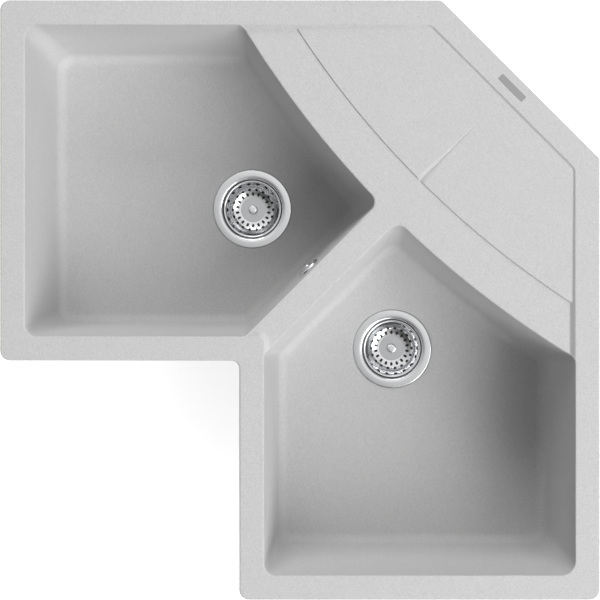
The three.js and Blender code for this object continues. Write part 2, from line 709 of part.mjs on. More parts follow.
// Places of the clips: a point on the rim's edge, and the way out from there.
const CLIPS = [
  ...SIDE_CLIPS.map((along) => ({ x: -HALF, y: along, turn: Math.PI })),
  ...SIDE_CLIPS.map((along) => ({ x: along, y: -HALF, turn: -Math.PI / 2 })),
  { x: BACK_CLIP, y: HALF, turn: Math.PI / 2 },
  { x: HALF, y: BACK_CLIP, turn: 0 },
  { x: FRONT_CLIP, y: -FRONT, turn: -Math.PI / 2 },
  { x: -FRONT, y: FRONT_CLIP, turn: Math.PI },
  { x: CORNER_CUT_T * DIAGONAL, y: CORNER_CUT_T * DIAGONAL, turn: Math.PI / 4 },
];

const atClip = (shape, { x, y, turn }) => shape.rotateZ(turn).translate(x, y, 0);

// The lug hangs from the deck, and the clip's tongue goes into a slot in its outer face.
function clipLug() {
  return block(
    [-LUG_INSET - LUG_LENGTH, -LUG_WIDTH / 2, -LUG_DEPTH],
    [-LUG_INSET, LUG_WIDTH / 2, DECK_UNDERSIDE + OVERCUT]);
}

function clipSlot() {
  return block(
    [-LUG_INSET - CLIP_TONGUE - GAP, -CLIP_WIDTH / 2 - GAP, -CLIP_TONGUE_DEPTH - CLIP_STEEL - GAP],
    [-LUG_INSET + OVERCUT, CLIP_WIDTH / 2 + GAP, -CLIP_TONGUE_DEPTH + GAP]);
}

function clipBracket() {
  const inner = -LUG_INSET + GAP;
  const outer = inner + CLIP_STEEL;
  const tongueTop = -CLIP_TONGUE_DEPTH;
  const shape = new THREE.Shape([
    new THREE.Vector2(-LUG_INSET - CLIP_TONGUE, tongueTop - CLIP_STEEL),
    new THREE.Vector2(inner, tongueTop - CLIP_STEEL),
    new THREE.Vector2(inner, -CLIP_ARM_DEPTH),
    new THREE.Vector2(-CLIP_ARM_INSET, -CLIP_ARM_DEPTH),
    new THREE.Vector2(-CLIP_ARM_INSET, -CLIP_ARM_DEPTH + CLIP_STEEL),
    new THREE.Vector2(outer, -CLIP_ARM_DEPTH + CLIP_STEEL),
    new THREE.Vector2(outer, tongueTop),
    new THREE.Vector2(-LUG_INSET - CLIP_TONGUE, tongueTop),
  ]);
  const strip = new THREE.ExtrudeGeometry(shape, { depth: CLIP_WIDTH, bevelEnabled: false })
    .rotateX(Math.PI / 2).translate(0, CLIP_WIDTH / 2, 0);
  const hole = rod(
    CLIP_SCREW_RADIUS + GAP, -CLIP_ARM_DEPTH - OVERCUT, -CLIP_ARM_DEPTH + CLIP_STEEL + OVERCUT,
    CLIP_SEGMENTS);
  return cut(strip, [hole.translate(-CLIP_SCREW_INSET, 0, 0)]);
}

// Its hexagon head is below the arm, and its pad presses up against the worktop.
function clipScrew() {
  const headTop = -CLIP_ARM_DEPTH - CLIP_HEAD_BELOW;
  const shank = turned([
    [0, headTop - OVERCUT],
    [CLIP_SCREW_RADIUS, headTop - OVERCUT],
    [CLIP_SCREW_RADIUS, -WORKTOP - CLIP_PAD_THICKNESS],
    [CLIP_PAD_RADIUS, -WORKTOP - CLIP_PAD_THICKNESS],
    [CLIP_PAD_RADIUS, -WORKTOP],
    [0, -WORKTOP],
  ], CLIP_SEGMENTS);
  const head = rod(CLIP_HEAD_RADIUS, headTop - CLIP_HEAD_HEIGHT, headTop, HEXAGON);
  return join([shank, head]).translate(-CLIP_SCREW_INSET, 0, 0);
}

// ---------------------------------------------------------------- wastes

// Dished steel flange, from its outer edge over the roll and down to the floor of the dish.
function wasteFlange() {
  const line = [
    [FLANGE_RADIUS - FLANGE_EDGE, TOP_GASKET - FLANGE_EDGE_DROP],
    [FLANGE_RADIUS - 2 * FLANGE_EDGE, TOP_GASKET],
    [TOP_GASKET_INNER - FLANGE_FALL, TOP_GASKET],
    ...DISH_ROLL.map(([out, up]) => [DISH_RADIUS + out, up]),
    ...DISH_FOOT.map(([inward, up]) => [DISH_RADIUS - inward, -DISH_DEPTH + up]),
    [CLAMP_RADIUS + CLAMP_CLEARANCE, -DISH_DEPTH],
  ];
  const hole = rod(
    DISH_HOLE_RADIUS, -DISH_DEPTH - OVERCUT, DISH_FLOOR + OVERCUT, DRAIN_HOLE_SEGMENTS)
    .translate(DISH_HOLE_CIRCLE, 0, 0);
  return cut(turned(sheet(line, FLANGE_STEEL), WASTE_SEGMENTS), roundTheAxis(DISH_HOLES, hole));
}

// Plastic cup under the bowl: its outlet points down, and its overflow socket along +X.
function wasteBody() {
  const cupInside = CUP_RADIUS - CUP_WALL;
  const outletInside = OUTLET_RADIUS - OUTLET_WALL;
  const cup = turned([
    [cupInside, BODY_TOP],
    [BODY_FLANGE_RADIUS, BODY_TOP],
    [BODY_FLANGE_RADIUS, BODY_TOP - BODY_FLANGE],
    [CUP_RADIUS, BODY_TOP - BODY_FLANGE],
    [CUP_RADIUS, -CUP_DEPTH],
    [CUP_RADIUS - CONE_DROP, -CUP_DEPTH - CUP_WALL],
    [OUTLET_RADIUS, -CUP_DEPTH - CUP_WALL - CONE_DROP],
    [OUTLET_RADIUS, -OUTLET_DEPTH],
    [outletInside, -OUTLET_DEPTH],
    [outletInside, -CUP_DEPTH - CONE_DROP],
    [cupInside - CONE_DROP, -CUP_DEPTH],
    [cupInside, -CUP_DEPTH + CUP_WALL],
  ], UNDER_SEGMENTS);
  const bossFoot = -BOSS_DEPTH - BOSS_HEIGHT;
  const boss = rod(BOSS_RADIUS, bossFoot, -BOSS_DEPTH, UNDER_SEGMENTS);
  const rib = block(
    [0, -CUP_RIB_THICKNESS / 2, bossFoot],
    [CUP_RADIUS - CUP_WALL / 2, CUP_RIB_THICKNESS / 2, bossFoot + CUP_RIB_HEIGHT]);
  const ribs = roundTheAxis(CUP_RIBS, rib, Math.PI / CUP_RIBS);
  const screwBore = rod(
    CLAMP_RADIUS + GAP, DISH_FLOOR - CLAMP_LENGTH - GAP, -BOSS_DEPTH + OVERCUT, PIN_SEGMENTS);
  return cut(join([cup, boss, ...ribs, portTube()]), [screwBore, portBore()]);
}

const alongPort = (shape) => shape.rotateY(Math.PI / 2).translate(0, 0, -PORT_DEPTH);
const portTube = () => alongPort(rod(
  SOCKET_RADIUS, CUP_RADIUS - CUP_WALL / 2, SOCKET_END, UNDER_SEGMENTS));
const portBore = () => alongPort(socketBore(
  CUP_RADIUS - CUP_WALL - OVERCUT, SOCKET_STOP, SOCKET_END));

// A passage from the inside, opening out at the stop into the bore that takes the hose.
function socketBore(inside, stop, end) {
  return turned([
    [0, inside],
    [HOSE_BORE, inside],
    [HOSE_BORE, stop],
    [SOCKET_BORE, stop],
    [SOCKET_BORE, end + OVERCUT],
    [0, end + OVERCUT],
  ], UNDER_SEGMENTS);
}

// Hollow, so that the stem of the strainer can stand in it.
function clampScrew() {
  const foot = DISH_FLOOR - CLAMP_LENGTH;
  const hollow = CLAMP_HEAD_TOP - STEM_REACH - GAP;
  return turned([
    [0, foot],
    [CLAMP_RADIUS, foot],
    [CLAMP_RADIUS, DISH_FLOOR],
    [CLAMP_HEAD_RADIUS, DISH_FLOOR],
    [CLAMP_HEAD_RADIUS, CLAMP_HEAD_TOP - CLAMP_EDGE[1]],
    [CLAMP_HEAD_RADIUS - CLAMP_EDGE[0], CLAMP_HEAD_TOP],
    [STEM_RADIUS + GAP, CLAMP_HEAD_TOP],
    [STEM_RADIUS + GAP, hollow],
    [0, hollow],
  ], PIN_SEGMENTS);
}

function basket() {
  const line = [
    ...BASKET_RIM.map(([inward, up]) => [BASKET_RADIUS - inward, -BASKET_TOP_DEPTH + up]),
    ...BASKET_WALL.map(([inward, up]) => [BASKET_RADIUS - inward, -BASKET_DEPTH + up]),
    [BASKET_DISC_RADIUS + BASKET_DISC_BEND[0], -BASKET_DEPTH + BASKET_DISC_BEND[1]],
    [BASKET_DISC_RADIUS, -BASKET_DEPTH],
    [STEM_RADIUS + GAP, -BASKET_DEPTH],
  ];
  const [low, high] = [-BASKET_DEPTH - OVERCUT, -BASKET_DEPTH + BASKET_HOLE_REACH];
  const slot = block(
    [SLOT_CIRCLE - SLOT_LENGTH / 2, -SLOT_WIDTH / 2, low],
    [SLOT_CIRCLE + SLOT_LENGTH / 2, SLOT_WIDTH / 2, high]);
  const hole = rod(HOLE_RADIUS, low, high, BASKET_HOLE_SEGMENTS).translate(HOLE_CIRCLE, 0, 0);
  return cut(turned(sheet(line, BASKET_STEEL), BASKET_SLOTS), [
    ...roundTheAxis(BASKET_SLOTS, slot, Math.PI / BASKET_SLOTS),
    ...roundTheAxis(BASKET_SLOTS, hole),
  ]);
}

const DISC_TOP = -BASKET_DEPTH + BASKET_STEEL;
const KNOB_TOP = DISC_TOP + KNOB_HEIGHT;

function knob() {
  return turned([
    [STEM_RADIUS + GAP, DISC_TOP],
    [KNOB_WAIST + KNOB_FOOT[0], DISC_TOP],
    [KNOB_WAIST, DISC_TOP + KNOB_FOOT[1]],
    [KNOB_WAIST, KNOB_TOP - KNOB_NECK],
    ...KNOB_GRIP.map((down) => [KNOB_RADIUS, KNOB_TOP - down]),
    [KNOB_RADIUS - KNOB_EDGE[0], KNOB_TOP - KNOB_EDGE[1]],
    [0, KNOB_TOP],
    [0, KNOB_TOP - KNOB_CROWN],
    [STEM_RADIUS + GAP, KNOB_TOP - KNOB_CROWN],
  ], PIN_SEGMENTS);
}

const stem = () => rod(
  STEM_RADIUS, CLAMP_HEAD_TOP - STEM_REACH, KNOB_TOP - KNOB_CROWN - GAP, PIN_SEGMENTS);
const washer = () => tube(
  STEM_RADIUS + GAP, WASHER_RADIUS, -BASKET_DEPTH - WASHER_THICKNESS, -BASKET_DEPTH, UNDER_SEGMENTS);

// Its lip closes the dish outside the ring of holes.
function stopper() {
  const top = -BASKET_DEPTH - WASHER_THICKNESS;
  const foot = DISH_FLOOR + GAP;
  const web = foot + STOPPER_WEB;
  return turned([
    [STEM_RADIUS + GAP, CLAMP_HEAD_TOP + GAP],
    [STOPPER_HOLLOW, CLAMP_HEAD_TOP + GAP],
    [STOPPER_HOLLOW, web],
    [STOPPER_RADIUS - STOPPER_LIP, web],
    [STOPPER_RADIUS - STOPPER_LIP, foot],
    [STOPPER_RADIUS, foot],
    [STOPPER_RADIUS, top - STOPPER_EDGE],
    [STOPPER_RADIUS - STOPPER_EDGE, top],
    [STEM_RADIUS + GAP, top],
  ], UNDER_SEGMENTS);
}

const topGasket = () => tube(TOP_GASKET_INNER, TOP_GASKET_OUTER, 0, TOP_GASKET, UNDER_SEGMENTS);
const underGasket = () => tube(
  UNDER_GASKET_INNER, UNDER_GASKET_OUTER, BODY_TOP, UNDER_SEAT, UNDER_SEGMENTS);

// ---------------------------------------------------------------- overflow

// Where the overflow's axis meets the wall's face. Its own Z points into the bowl and its Y up
// the wall.
function overflowPlace() {
  const out = fromDiagonal(1, 0, 0, 1);
  const up = new THREE.Vector3(0, 0, 1);
  const normal = out.clone().multiplyScalar(Math.cos(DRAFT_ANGLE))
    .addScaledVector(up, Math.sin(DRAFT_ANGLE));
  const wallUp = up.clone().multiplyScalar(Math.cos(DRAFT_ANGLE))
    .addScaledVector(out, -Math.sin(DRAFT_ANGLE));
  const face = DIVIDER_WIDTH / 2 + DRAFT * OVERFLOW_DROP;
  return new THREE.Matrix4().makeBasis(wallUp.clone().cross(normal), wallUp, normal)
    .setPosition(fromDiagonal(face, OVERFLOW_T, RIM_HEIGHT - OVERFLOW_DROP, 1));
}

const OVERFLOW = overflowPlace();
const GASKET_FACE = -WALL - GAP;
const OVERFLOW_FRONT = GASKET_FACE - OVERFLOW_GASKET - GAP;
const OVERFLOW_BACK = OVERFLOW_FRONT - OVERFLOW_BODY_DEPTH;

const overflowHole = () => rod(
  OVERFLOW_HOLE, -WALL - HOLE_OVERCUT, HOLE_OVERCUT, UNDER_SEGMENTS).applyMatrix4(OVERFLOW);

function rosette() {
  const line = [
    [ROSETTE_RADIUS, GAP],
    [ROSETTE_RADIUS - ROSETTE_SIDE[0], ROSETTE_SIDE[1]],
    [ROSETTE_RADIUS - ROSETTE_SHOULDER[0], ROSETTE_RISE - ROSETTE_SHOULDER[1]],
    [ROSETTE_RADIUS - ROSETTE_FACE, ROSETTE_RISE],
    [ROSETTE_SCREW_RADIUS + GAP, ROSETTE_RISE],
  ];
  const onSide = (radius) => radius > ROSETTE_RADIUS - ROSETTE_FACE;
  const inside = line.map(([radius, height]) => [
    onSide(radius) ? radius - ROSETTE_THICKNESS : radius,
    height > GAP ? height - ROSETTE_THICKNESS : height,
  ]);
  const hole = rod(ROSETTE_HOLE_RADIUS, 0, ROSETTE_RISE + OVERCUT, DRAIN_HOLE_SEGMENTS)
    .translate(ROSETTE_HOLE_CIRCLE, 0, 0);
  const shell = turned([...line, ...inside.reverse()], UNDER_SEGMENTS);
  return cut(shell, roundTheAxis(ROSETTE_HOLES, hole));
}

function rosetteScrew() {
  const head = ROSETTE_RISE + GAP;
  return turned([
    [0, OVERFLOW_BACK + OVERFLOW_BODY_WALL + GAP],
    [ROSETTE_SCREW_RADIUS, OVERFLOW_BACK + OVERFLOW_BODY_WALL + GAP],
    [ROSETTE_SCREW_RADIUS, head],
    [ROSETTE_SCREW_HEAD, head],
    [ROSETTE_SCREW_HEAD - ROSETTE_SCREW_TAPER, head + ROSETTE_SCREW_HEAD_HEIGHT],
    [0, head + ROSETTE_SCREW_HEAD_HEIGHT],
  ], PIN_SEGMENTS);
}

const overflowGasket = () => tube(
  OVERFLOW_GASKET_INNER, OVERFLOW_BODY_RADIUS, GASKET_FACE - OVERFLOW_GASKET, GASKET_FACE,
  UNDER_SEGMENTS);

// A round chamber behind the wall. Its screw boss stands on its back, and its socket points down.
function overflowBody() {
  const inside = OVERFLOW_BODY_RADIUS - OVERFLOW_BODY_WALL;
  const innerBack = OVERFLOW_BACK + OVERFLOW_BODY_WALL;
  const chamber = turned([
    [0, OVERFLOW_BACK],
    [OVERFLOW_BODY_RADIUS, OVERFLOW_BACK],
    [OVERFLOW_BODY_RADIUS, OVERFLOW_FRONT],
    [inside, OVERFLOW_FRONT],
    [inside, innerBack],
    [0, innerBack],
  ], UNDER_SEGMENTS);
  const down = (shape) => shape.rotateX(Math.PI / 2).translate(0, 0, -HOSE_SETBACK);
  const hollow = rod(inside, innerBack, OVERFLOW_FRONT + OVERCUT, UNDER_SEGMENTS);
  const socket = cut(
    down(rod(SOCKET_RADIUS, OVERFLOW_BOSS_RADIUS, OVERFLOW_SOCKET_DROP, UNDER_SEGMENTS)), [hollow]);
  const boss = rod(
    OVERFLOW_BOSS_RADIUS, innerBack - OVERCUT, innerBack + OVERFLOW_BOSS_HEIGHT, UNDER_SEGMENTS);
  const screwBore = rod(ROSETTE_SCREW_RADIUS + GAP, innerBack, OVERFLOW_FRONT, PIN_SEGMENTS);
  const bore = down(socketBore(
    OVERFLOW_BOSS_RADIUS + HOSE_BORE, OVERFLOW_SOCKET_DROP - SOCKET_DEPTH, OVERFLOW_SOCKET_DROP));
  return cut(join([chamber, socket, boss]), [screwBore, bore]);
}

// ---------------------------------------------------------------- overflow hose

// The hose runs straight down from the overflow's socket, round one bend, and straight into the
// left waste's socket. The bend is as wide as leaves that last stretch one diameter long.
function hoseRoute() {
  const start = new THREE.Vector3(0, SOCKET_DEPTH - OVERFLOW_SOCKET_DROP, -HOSE_SETBACK)
    .applyMatrix4(OVERFLOW);
  const down = new THREE.Vector3(0, -1, 0).transformDirection(OVERFLOW);
  const level = WASTE_SEAT - PORT_DEPTH;
  const corner = start.clone().addScaledVector(down, (level - start.z) / down.z);
  const waste = fromDiagonal(WASTE_S, WASTE_T, level, 1);
  const along = waste.clone().sub(corner).normalize();
  const end = waste.clone().addScaledVector(along, -SOCKET_STOP);
  const turn = down.angleTo(along);
  const setback = corner.distanceTo(end) - 2 * HOSE_RADIUS;
  const radius = setback / Math.tan(turn / 2);
  const firstLength = start.distanceTo(corner) - setback;
  const inward = along.clone().addScaledVector(down, -along.dot(down)).normalize();
  const bendStart = start.clone().addScaledVector(down, firstLength);
  const centre = bendStart.clone().addScaledVector(inward, radius);
  const length = firstLength + radius * turn + 2 * HOSE_RADIUS;
  const across = down.clone().cross(inward);
  const at = (distance) => {
    const angle = (distance - firstLength) / radius;
    if (angle <= 0) return { p: start.clone().addScaledVector(down, distance), way: down };
    if (angle >= turn) {
      return { p: end.clone().addScaledVector(along, distance - length), way: along };
    }
    const [cos, sin] = [Math.cos(angle), Math.sin(angle)];
    const way = down.clone().multiplyScalar(cos).addScaledVector(inward, sin);
    const out = inward.clone().multiplyScalar(-cos).addScaledVector(down, sin);
    return { p: centre.clone().addScaledVector(out, radius), way };
  };
  return { length, across, along, at };
}

const HOSE = hoseRoute();

// One ring of points round the hose.
function hoseRing(distance, radius) {
  const { p, way } = HOSE.at(distance);
  const other = way.clone().cross(HOSE.across);
  return Array.from({ length: HOSE_SIDES }, (_, k) => {
    const angle = (2 * Math.PI * k) / HOSE_SIDES;
    return p.clone().addScaledVector(HOSE.across, radius * Math.cos(angle))
      .addScaledVector(other, radius * Math.sin(angle));
  });
}

// The rings run out along the ribs and back along the bore, and close on the first.
function overflowHose() {
  const ribs = Math.round(HOSE.length / RIB_PITCH);
  const pitch = HOSE.length / ribs;
  const outside = Array.from({ length: ribs }, (_, k) => [
    hoseRing(k * pitch, HOSE_RADIUS - (k === 0 ? 0 : HOSE_RIB_HEIGHT)),
    hoseRing((k + 0.5) * pitch, HOSE_RADIUS),
  ]).flat();
  outside.push(hoseRing(HOSE.length, HOSE_RADIUS));
  const boreRings = Math.round(ribs / RIBS_PER_BORE_RING);
  const inside = Array.from({ length: boreRings + 1 }, (_, k) => hoseRing(
    HOSE.length * (1 - k / boreRings), HOSE_BORE));
  const rings = [...outside, ...inside];
  const position = rings.flatMap((ring) => ring.flatMap((p) => [p.x, p.y, p.z]));
  const index = [];
  rings.forEach((_, k) => {
    const [here, next] = [k * HOSE_SIDES, ((k + 1) % rings.length) * HOSE_SIDES];
    for (let i = 0; i < HOSE_SIDES; i += 1) {
      const j = (i + 1) % HOSE_SIDES;
      index.push(here + i, here + j, next + j, here + i, next + j, next + i);
    }
  });
  const geometry = new THREE.BufferGeometry();
  geometry.setAttribute('position', new THREE.Float32BufferAttribute(position, 3));
  geometry.setIndex(index);
  return facingOut(geometry);
}

// A nut over the end of a socket, which lies at end along the nut's axis.
function hoseNut(end) {
  const outside = SOCKET_RADIUS + GAP + NUT_WALL;
  const lip = end + GAP;
  return turned([
    [SOCKET_RADIUS + GAP, lip + NUT_LIP - NUT_LENGTH],
    [outside, lip + NUT_LIP - NUT_LENGTH],
    [outside, lip + NUT_LIP],
    [SOCKET_BORE, lip + NUT_LIP],
    [SOCKET_BORE, lip],
    [SOCKET_RADIUS + GAP, lip],
  ], UNDER_SEGMENTS);
}

function blankingCap(end) {
  const outside = SOCKET_RADIUS + GAP + NUT_WALL;
  const lip = end + GAP;
  return turned([
    [SOCKET_RADIUS + GAP, lip + CAP_END - NUT_LENGTH],
    [outside, lip + CAP_END - NUT_LENGTH],
    [outside, lip + CAP_END - CAP_EDGE],
    [outside - CAP_EDGE, lip + CAP_END],
    [0, lip + CAP_END],
    [0, lip],
    [SOCKET_RADIUS + GAP, lip],
  ], UNDER_SEGMENTS);
}

// ---------------------------------------------------------------- sink body

function knockout() {
  const { x, y } = fromDiagonal(0, BOWL_CURVE_AT + LEDGE_WIDTH / 2, 0, 1);
  const [low, high] = [DECK_UNDERSIDE - OVERCUT, DECK_UNDERSIDE + KNOCKOUT_DEPTH];
  return rod(KNOCKOUT_RADIUS, low, high, UNDER_SEGMENTS).translate(x, y, 0);
}

function sinkBody() {
  const solid = join([
    deckSlab(), bowlShell(1), bowlShell(-1), ...CLIPS.map((clip) => atClip(clipLug(), clip))]);
  return cut(solid, [
    drainerPocket(), ledgePocket(), dividerPocket(), drainGroove(),
    bowlSpace(1), bowlSpace(-1), wasteHole(1), wasteHole(-1),
    rimBand(TAPE_INSET, TAPE_INSET + TAPE_WIDTH, -OVERCUT, TAPE_THICKNESS),
    badgeShape(GAP, RIM_HEIGHT - BADGE_RECESS, RIM_HEIGHT + OVERCUT),
    knockout(), overflowHole(), ...CLIPS.map((clip) => atClip(clipSlot(), clip)),
  ]);
}

const sealingTape = () => rimBand(
  TAPE_INSET + GAP, TAPE_INSET + TAPE_WIDTH - GAP, 0, TAPE_THICKNESS);
const badge = () => badgeShape(
  0, RIM_HEIGHT - BADGE_RECESS, RIM_HEIGHT - BADGE_RECESS + BADGE_THICKNESS);

// ---------------------------------------------------------------- the finished sink

const finish = (color, roughness, metalness) => new THREE.MeshStandardMaterial({
  color, roughness, metalness,
});
const COMPOSITE = finish('#cdcdcd', 0.6, 0);
const POLISHED_STEEL = finish('#d5d6d8', 0.2, 1);
const CHROME = finish('#dfe0e2', 0.08, 1);
const ZINC_STEEL = finish('#b4b6ba', 0.4, 0.9);
const BADGE_GREY = finish('#9a9a9a', 0.45, 0);
const WHITE_PLASTIC = finish('#e6e6e2', 0.4, 0);
const GREY_PLASTIC = finish('#7f8388', 0.45, 0);
const BLACK_RUBBER = finish('#1b1c1e', 0.85, 0);
const FOAM = finish('#4a4b4e', 0.95, 0);

const sink = new THREE.Group();
sink.position.set(-ORIGIN_XY, -ORIGIN_XY, 0);

function add(parent, name, geometry, material) {
  const mesh = new THREE.Mesh(geometry, material);
  mesh.name = name;
  parent.add(mesh);
  return mesh;
}

function addWaste(side, bowl) {
  const place = new THREE.Group();
  place.position.copy(fromDiagonal(WASTE_S, WASTE_T, WASTE_SEAT, bowl));
  add(place, `waste_flange_${side}`, wasteFlange(), POLISHED_STEEL);
  add(place, `flange_gasket_${side}`, topGasket(), BLACK_RUBBER);
  add(place, `under_gasket_${side}`, underGasket(), BLACK_RUBBER);
  add(place, `clamp_screw_${side}`, clampScrew(), POLISHED_STEEL);
  add(place, `strainer_basket_${side}`, basket(), POLISHED_STEEL);
  add(place, `strainer_knob_${side}`, knob(), CHROME);
  add(place, `strainer_stem_${side}`, stem(), POLISHED_STEEL);
  add(place, `strainer_washer_${side}`, washer(), POLISHED_STEEL);
  add(place, `strainer_stopper_${side}`, stopper(), BLACK_RUBBER);
  const under = new THREE.Group();
  const { x, y } = HOSE.along;
  under.rotation.z = bowl > 0 ? Math.atan2(-y, -x) : Math.atan2(-x, -y);
  add(under, `waste_body_${side}`, wasteBody(), WHITE_PLASTIC);
  if (bowl > 0) add(under, 'hose_nut_lower', alongPort(hoseNut(SOCKET_END)), GREY_PLASTIC);
  else add(under, 'blanking_cap', alongPort(blankingCap(SOCKET_END)), GREY_PLASTIC);
  place.add(under);
  sink.add(place);
}

function addOverflow() {
  const place = new THREE.Group();
  OVERFLOW.decompose(place.position, place.quaternion, place.scale);
  add(place, 'overflow_rosette', rosette(), CHROME);
  add(place, 'rosette_screw', rosetteScrew(), CHROME);
  add(place, 'overflow_gasket', overflowGasket(), BLACK_RUBBER);
  add(place, 'overflow_body', overflowBody(), WHITE_PLASTIC);
  const upperNut = hoseNut(OVERFLOW_SOCKET_DROP).rotateX(Math.PI / 2);
  add(place, 'hose_nut_upper', upperNut.translate(0, 0, -HOSE_SETBACK), GREY_PLASTIC);
  sink.add(place);
  add(sink, 'overflow_hose', overflowHose(), GREY_PLASTIC);
}

function addClips() {
  CLIPS.forEach((clip, i) => {
    const place = new THREE.Group();
    place.position.set(clip.x, clip.y, 0);
    place.rotation.z = clip.turn;
    add(place, `clip_bracket_${i + 1}`, clipBracket(), ZINC_STEEL);
    add(place, `clip_screw_${i + 1}`, clipScrew(), ZINC_STEEL);
    sink.add(place);
  });
}

add(sink, 'sink_body', sinkBody(), COMPOSITE);
add(sink, 'badge_plate', badge(), BADGE_GREY);
add(sink, 'sealing_tape', sealingTape(), FOAM);
addWaste('left', 1);
addWaste('right', -1);
addOverflow();
addClips();

const model = new THREE.Group();
model.add(sink);

export default model;
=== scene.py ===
# %% [markdown]
# # A corner kitchen sink in quartz composite
#
# The real sink is cast in one piece from quartz grains in acrylic resin, so every edge on it is
# soft and every wall leans a little, to come out of its mould. The CAD part gives its sizes. Here
# the same shapes are worked out again with fine roundings and dressed in their real finishes.

# %% Load the fixed frame
import json
import math

import bmesh
import bpy
import numpy as np
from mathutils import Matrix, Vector
from mathutils.geometry import delaunay_2d_cdt

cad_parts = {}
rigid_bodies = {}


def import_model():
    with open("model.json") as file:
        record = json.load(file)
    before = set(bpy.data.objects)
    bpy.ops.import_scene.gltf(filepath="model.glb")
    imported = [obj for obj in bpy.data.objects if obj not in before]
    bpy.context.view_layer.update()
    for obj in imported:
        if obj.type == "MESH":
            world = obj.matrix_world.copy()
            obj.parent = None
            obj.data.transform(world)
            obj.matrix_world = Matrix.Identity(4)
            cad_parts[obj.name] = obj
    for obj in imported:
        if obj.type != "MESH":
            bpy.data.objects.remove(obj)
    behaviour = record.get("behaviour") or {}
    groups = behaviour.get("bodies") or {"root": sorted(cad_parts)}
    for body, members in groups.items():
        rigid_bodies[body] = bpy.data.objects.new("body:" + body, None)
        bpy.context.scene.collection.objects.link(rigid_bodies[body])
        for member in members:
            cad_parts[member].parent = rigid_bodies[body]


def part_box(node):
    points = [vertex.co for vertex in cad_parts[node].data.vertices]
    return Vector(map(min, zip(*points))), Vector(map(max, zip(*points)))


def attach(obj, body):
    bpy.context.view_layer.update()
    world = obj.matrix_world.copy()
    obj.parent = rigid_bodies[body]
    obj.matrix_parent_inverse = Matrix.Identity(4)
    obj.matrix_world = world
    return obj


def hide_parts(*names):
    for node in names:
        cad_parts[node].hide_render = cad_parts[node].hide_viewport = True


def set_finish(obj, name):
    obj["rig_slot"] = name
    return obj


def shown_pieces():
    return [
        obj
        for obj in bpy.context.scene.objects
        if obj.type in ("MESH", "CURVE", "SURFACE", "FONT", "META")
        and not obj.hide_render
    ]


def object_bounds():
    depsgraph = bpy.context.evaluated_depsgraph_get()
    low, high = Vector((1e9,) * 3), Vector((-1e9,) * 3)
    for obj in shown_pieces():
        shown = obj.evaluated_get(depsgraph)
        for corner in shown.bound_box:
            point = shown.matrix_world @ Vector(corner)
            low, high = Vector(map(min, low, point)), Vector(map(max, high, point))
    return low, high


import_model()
cad_low, cad_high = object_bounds()
print("CAD box, m:", list(cad_low), list(cad_high))

# %% [markdown]
# ## Sizes
#
# Sizes are written in millimetres, and MM turns them to Blender's metres at the very end, so they
# can be set beside a drawing of the sink. The plan is drawn from the centre of the square that the
# sink fits, and z = 0 is the worktop. The place of that centre is measured on the frame.

# %% Sizes of the moulding
MM = 0.001
SQUARE = 830
ARM = 499
CORNER_CUT = 219
RIM_WIDTH = 34
OUTER_RADIUS = 14
INNER_CORNER_RADIUS = 11
CUT_RADIUS = 9
DIVIDER_WIDTH = 36.5
BOWL_CURVE_AT = 173.5
BOWL_CURVE_RADIUS = 1360
LEDGE_WIDTH = 63.5
RIM_HEIGHT = 10
RIM_ROUND = 2
DRAINER_DROP = 3.5
DRAINER_BACK_DROP = 2
LEDGE_DROP = 5.5
STEP_SLOPE = 1.2
LEDGE_STEP_SLOPE = 0.5
LEDGE_CORNER_RADIUS = 6
DRAINER_CORNER_RADIUS = 14
DIVIDER_END_RADIUS = 9.7
WALL = 8
BOWL_DEPTH = 195
DRAFT_RUN = 15.5
FLOOR_FILLET = 15
FLOOR_FALL = 4
FLOOR_FLAT = 66
BOWL_LIP = 1.5
BOWL_CORNER_GROWTH = 6
GROOVE_LENGTH = 122
GROOVE_WIDTH = 10.9
SEAT_WIDTH = 15
TAPE_INSET = 3.5
TAPE_WIDTH = 6
TAPE_THICKNESS = 2
KNOCKOUT_RADIUS = 17.5
KNOCKOUT_DEPTH = 5

HALF = SQUARE / 2
FRONT = HALF - (SQUARE - ARM)
DIAGONAL = math.sqrt(0.5)
CORNER_CUT_T = (2 * HALF - CORNER_CUT) * DIAGONAL
LEDGE_BACK_T = BOWL_CURVE_AT + LEDGE_WIDTH
LEDGE_TOP = RIM_HEIGHT - LEDGE_DROP
DECK_UNDERSIDE = LEDGE_TOP - WALL
FLOOR = RIM_HEIGHT - BOWL_DEPTH
FLOOR_LOW = FLOOR - FLOOR_FALL
BOWL_UNDERSIDE = FLOOR_LOW - WALL
DRAFT = DRAFT_RUN / BOWL_DEPTH

low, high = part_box("sink_body")
PLAN_CENTRE = np.array([(low.x + high.x) / 2, (low.y + high.y) / 2, 0])
print("centre of the plan, m:", PLAN_CENTRE)

# %% [markdown]
# ## Camera
#
# The photograph looks straight down at the sink from some way off. The lens sits a little to the
# right of the middle, which shows in how much of each wall can be seen, so the picture is shifted
# back by that much and no more. The camera comes first, because all that follows is judged in its
# view.

# %% Camera
CAMERA_HEIGHT = 2200
CAMERA_OFFSET = (33.9, 15.9)
camera_data = bpy.data.cameras.new("camera")
camera_data.sensor_width = 36
camera_data.lens = camera_data.sensor_width * CAMERA_HEIGHT / SQUARE
camera_data.shift_x, camera_data.shift_y = (-offset / SQUARE for offset in CAMERA_OFFSET)
camera_data.clip_end = 20
camera = bpy.data.objects.new("camera", camera_data)
camera.location = Vector([*CAMERA_OFFSET, CAMERA_HEIGHT + RIM_HEIGHT]) * MM + Vector(PLAN_CENTRE)
bpy.context.scene.collection.objects.link(camera)
bpy.context.scene.camera = camera
print("camera at", [round(v, 3) for v in camera.location], "m, lens", round(camera_data.lens, 1))

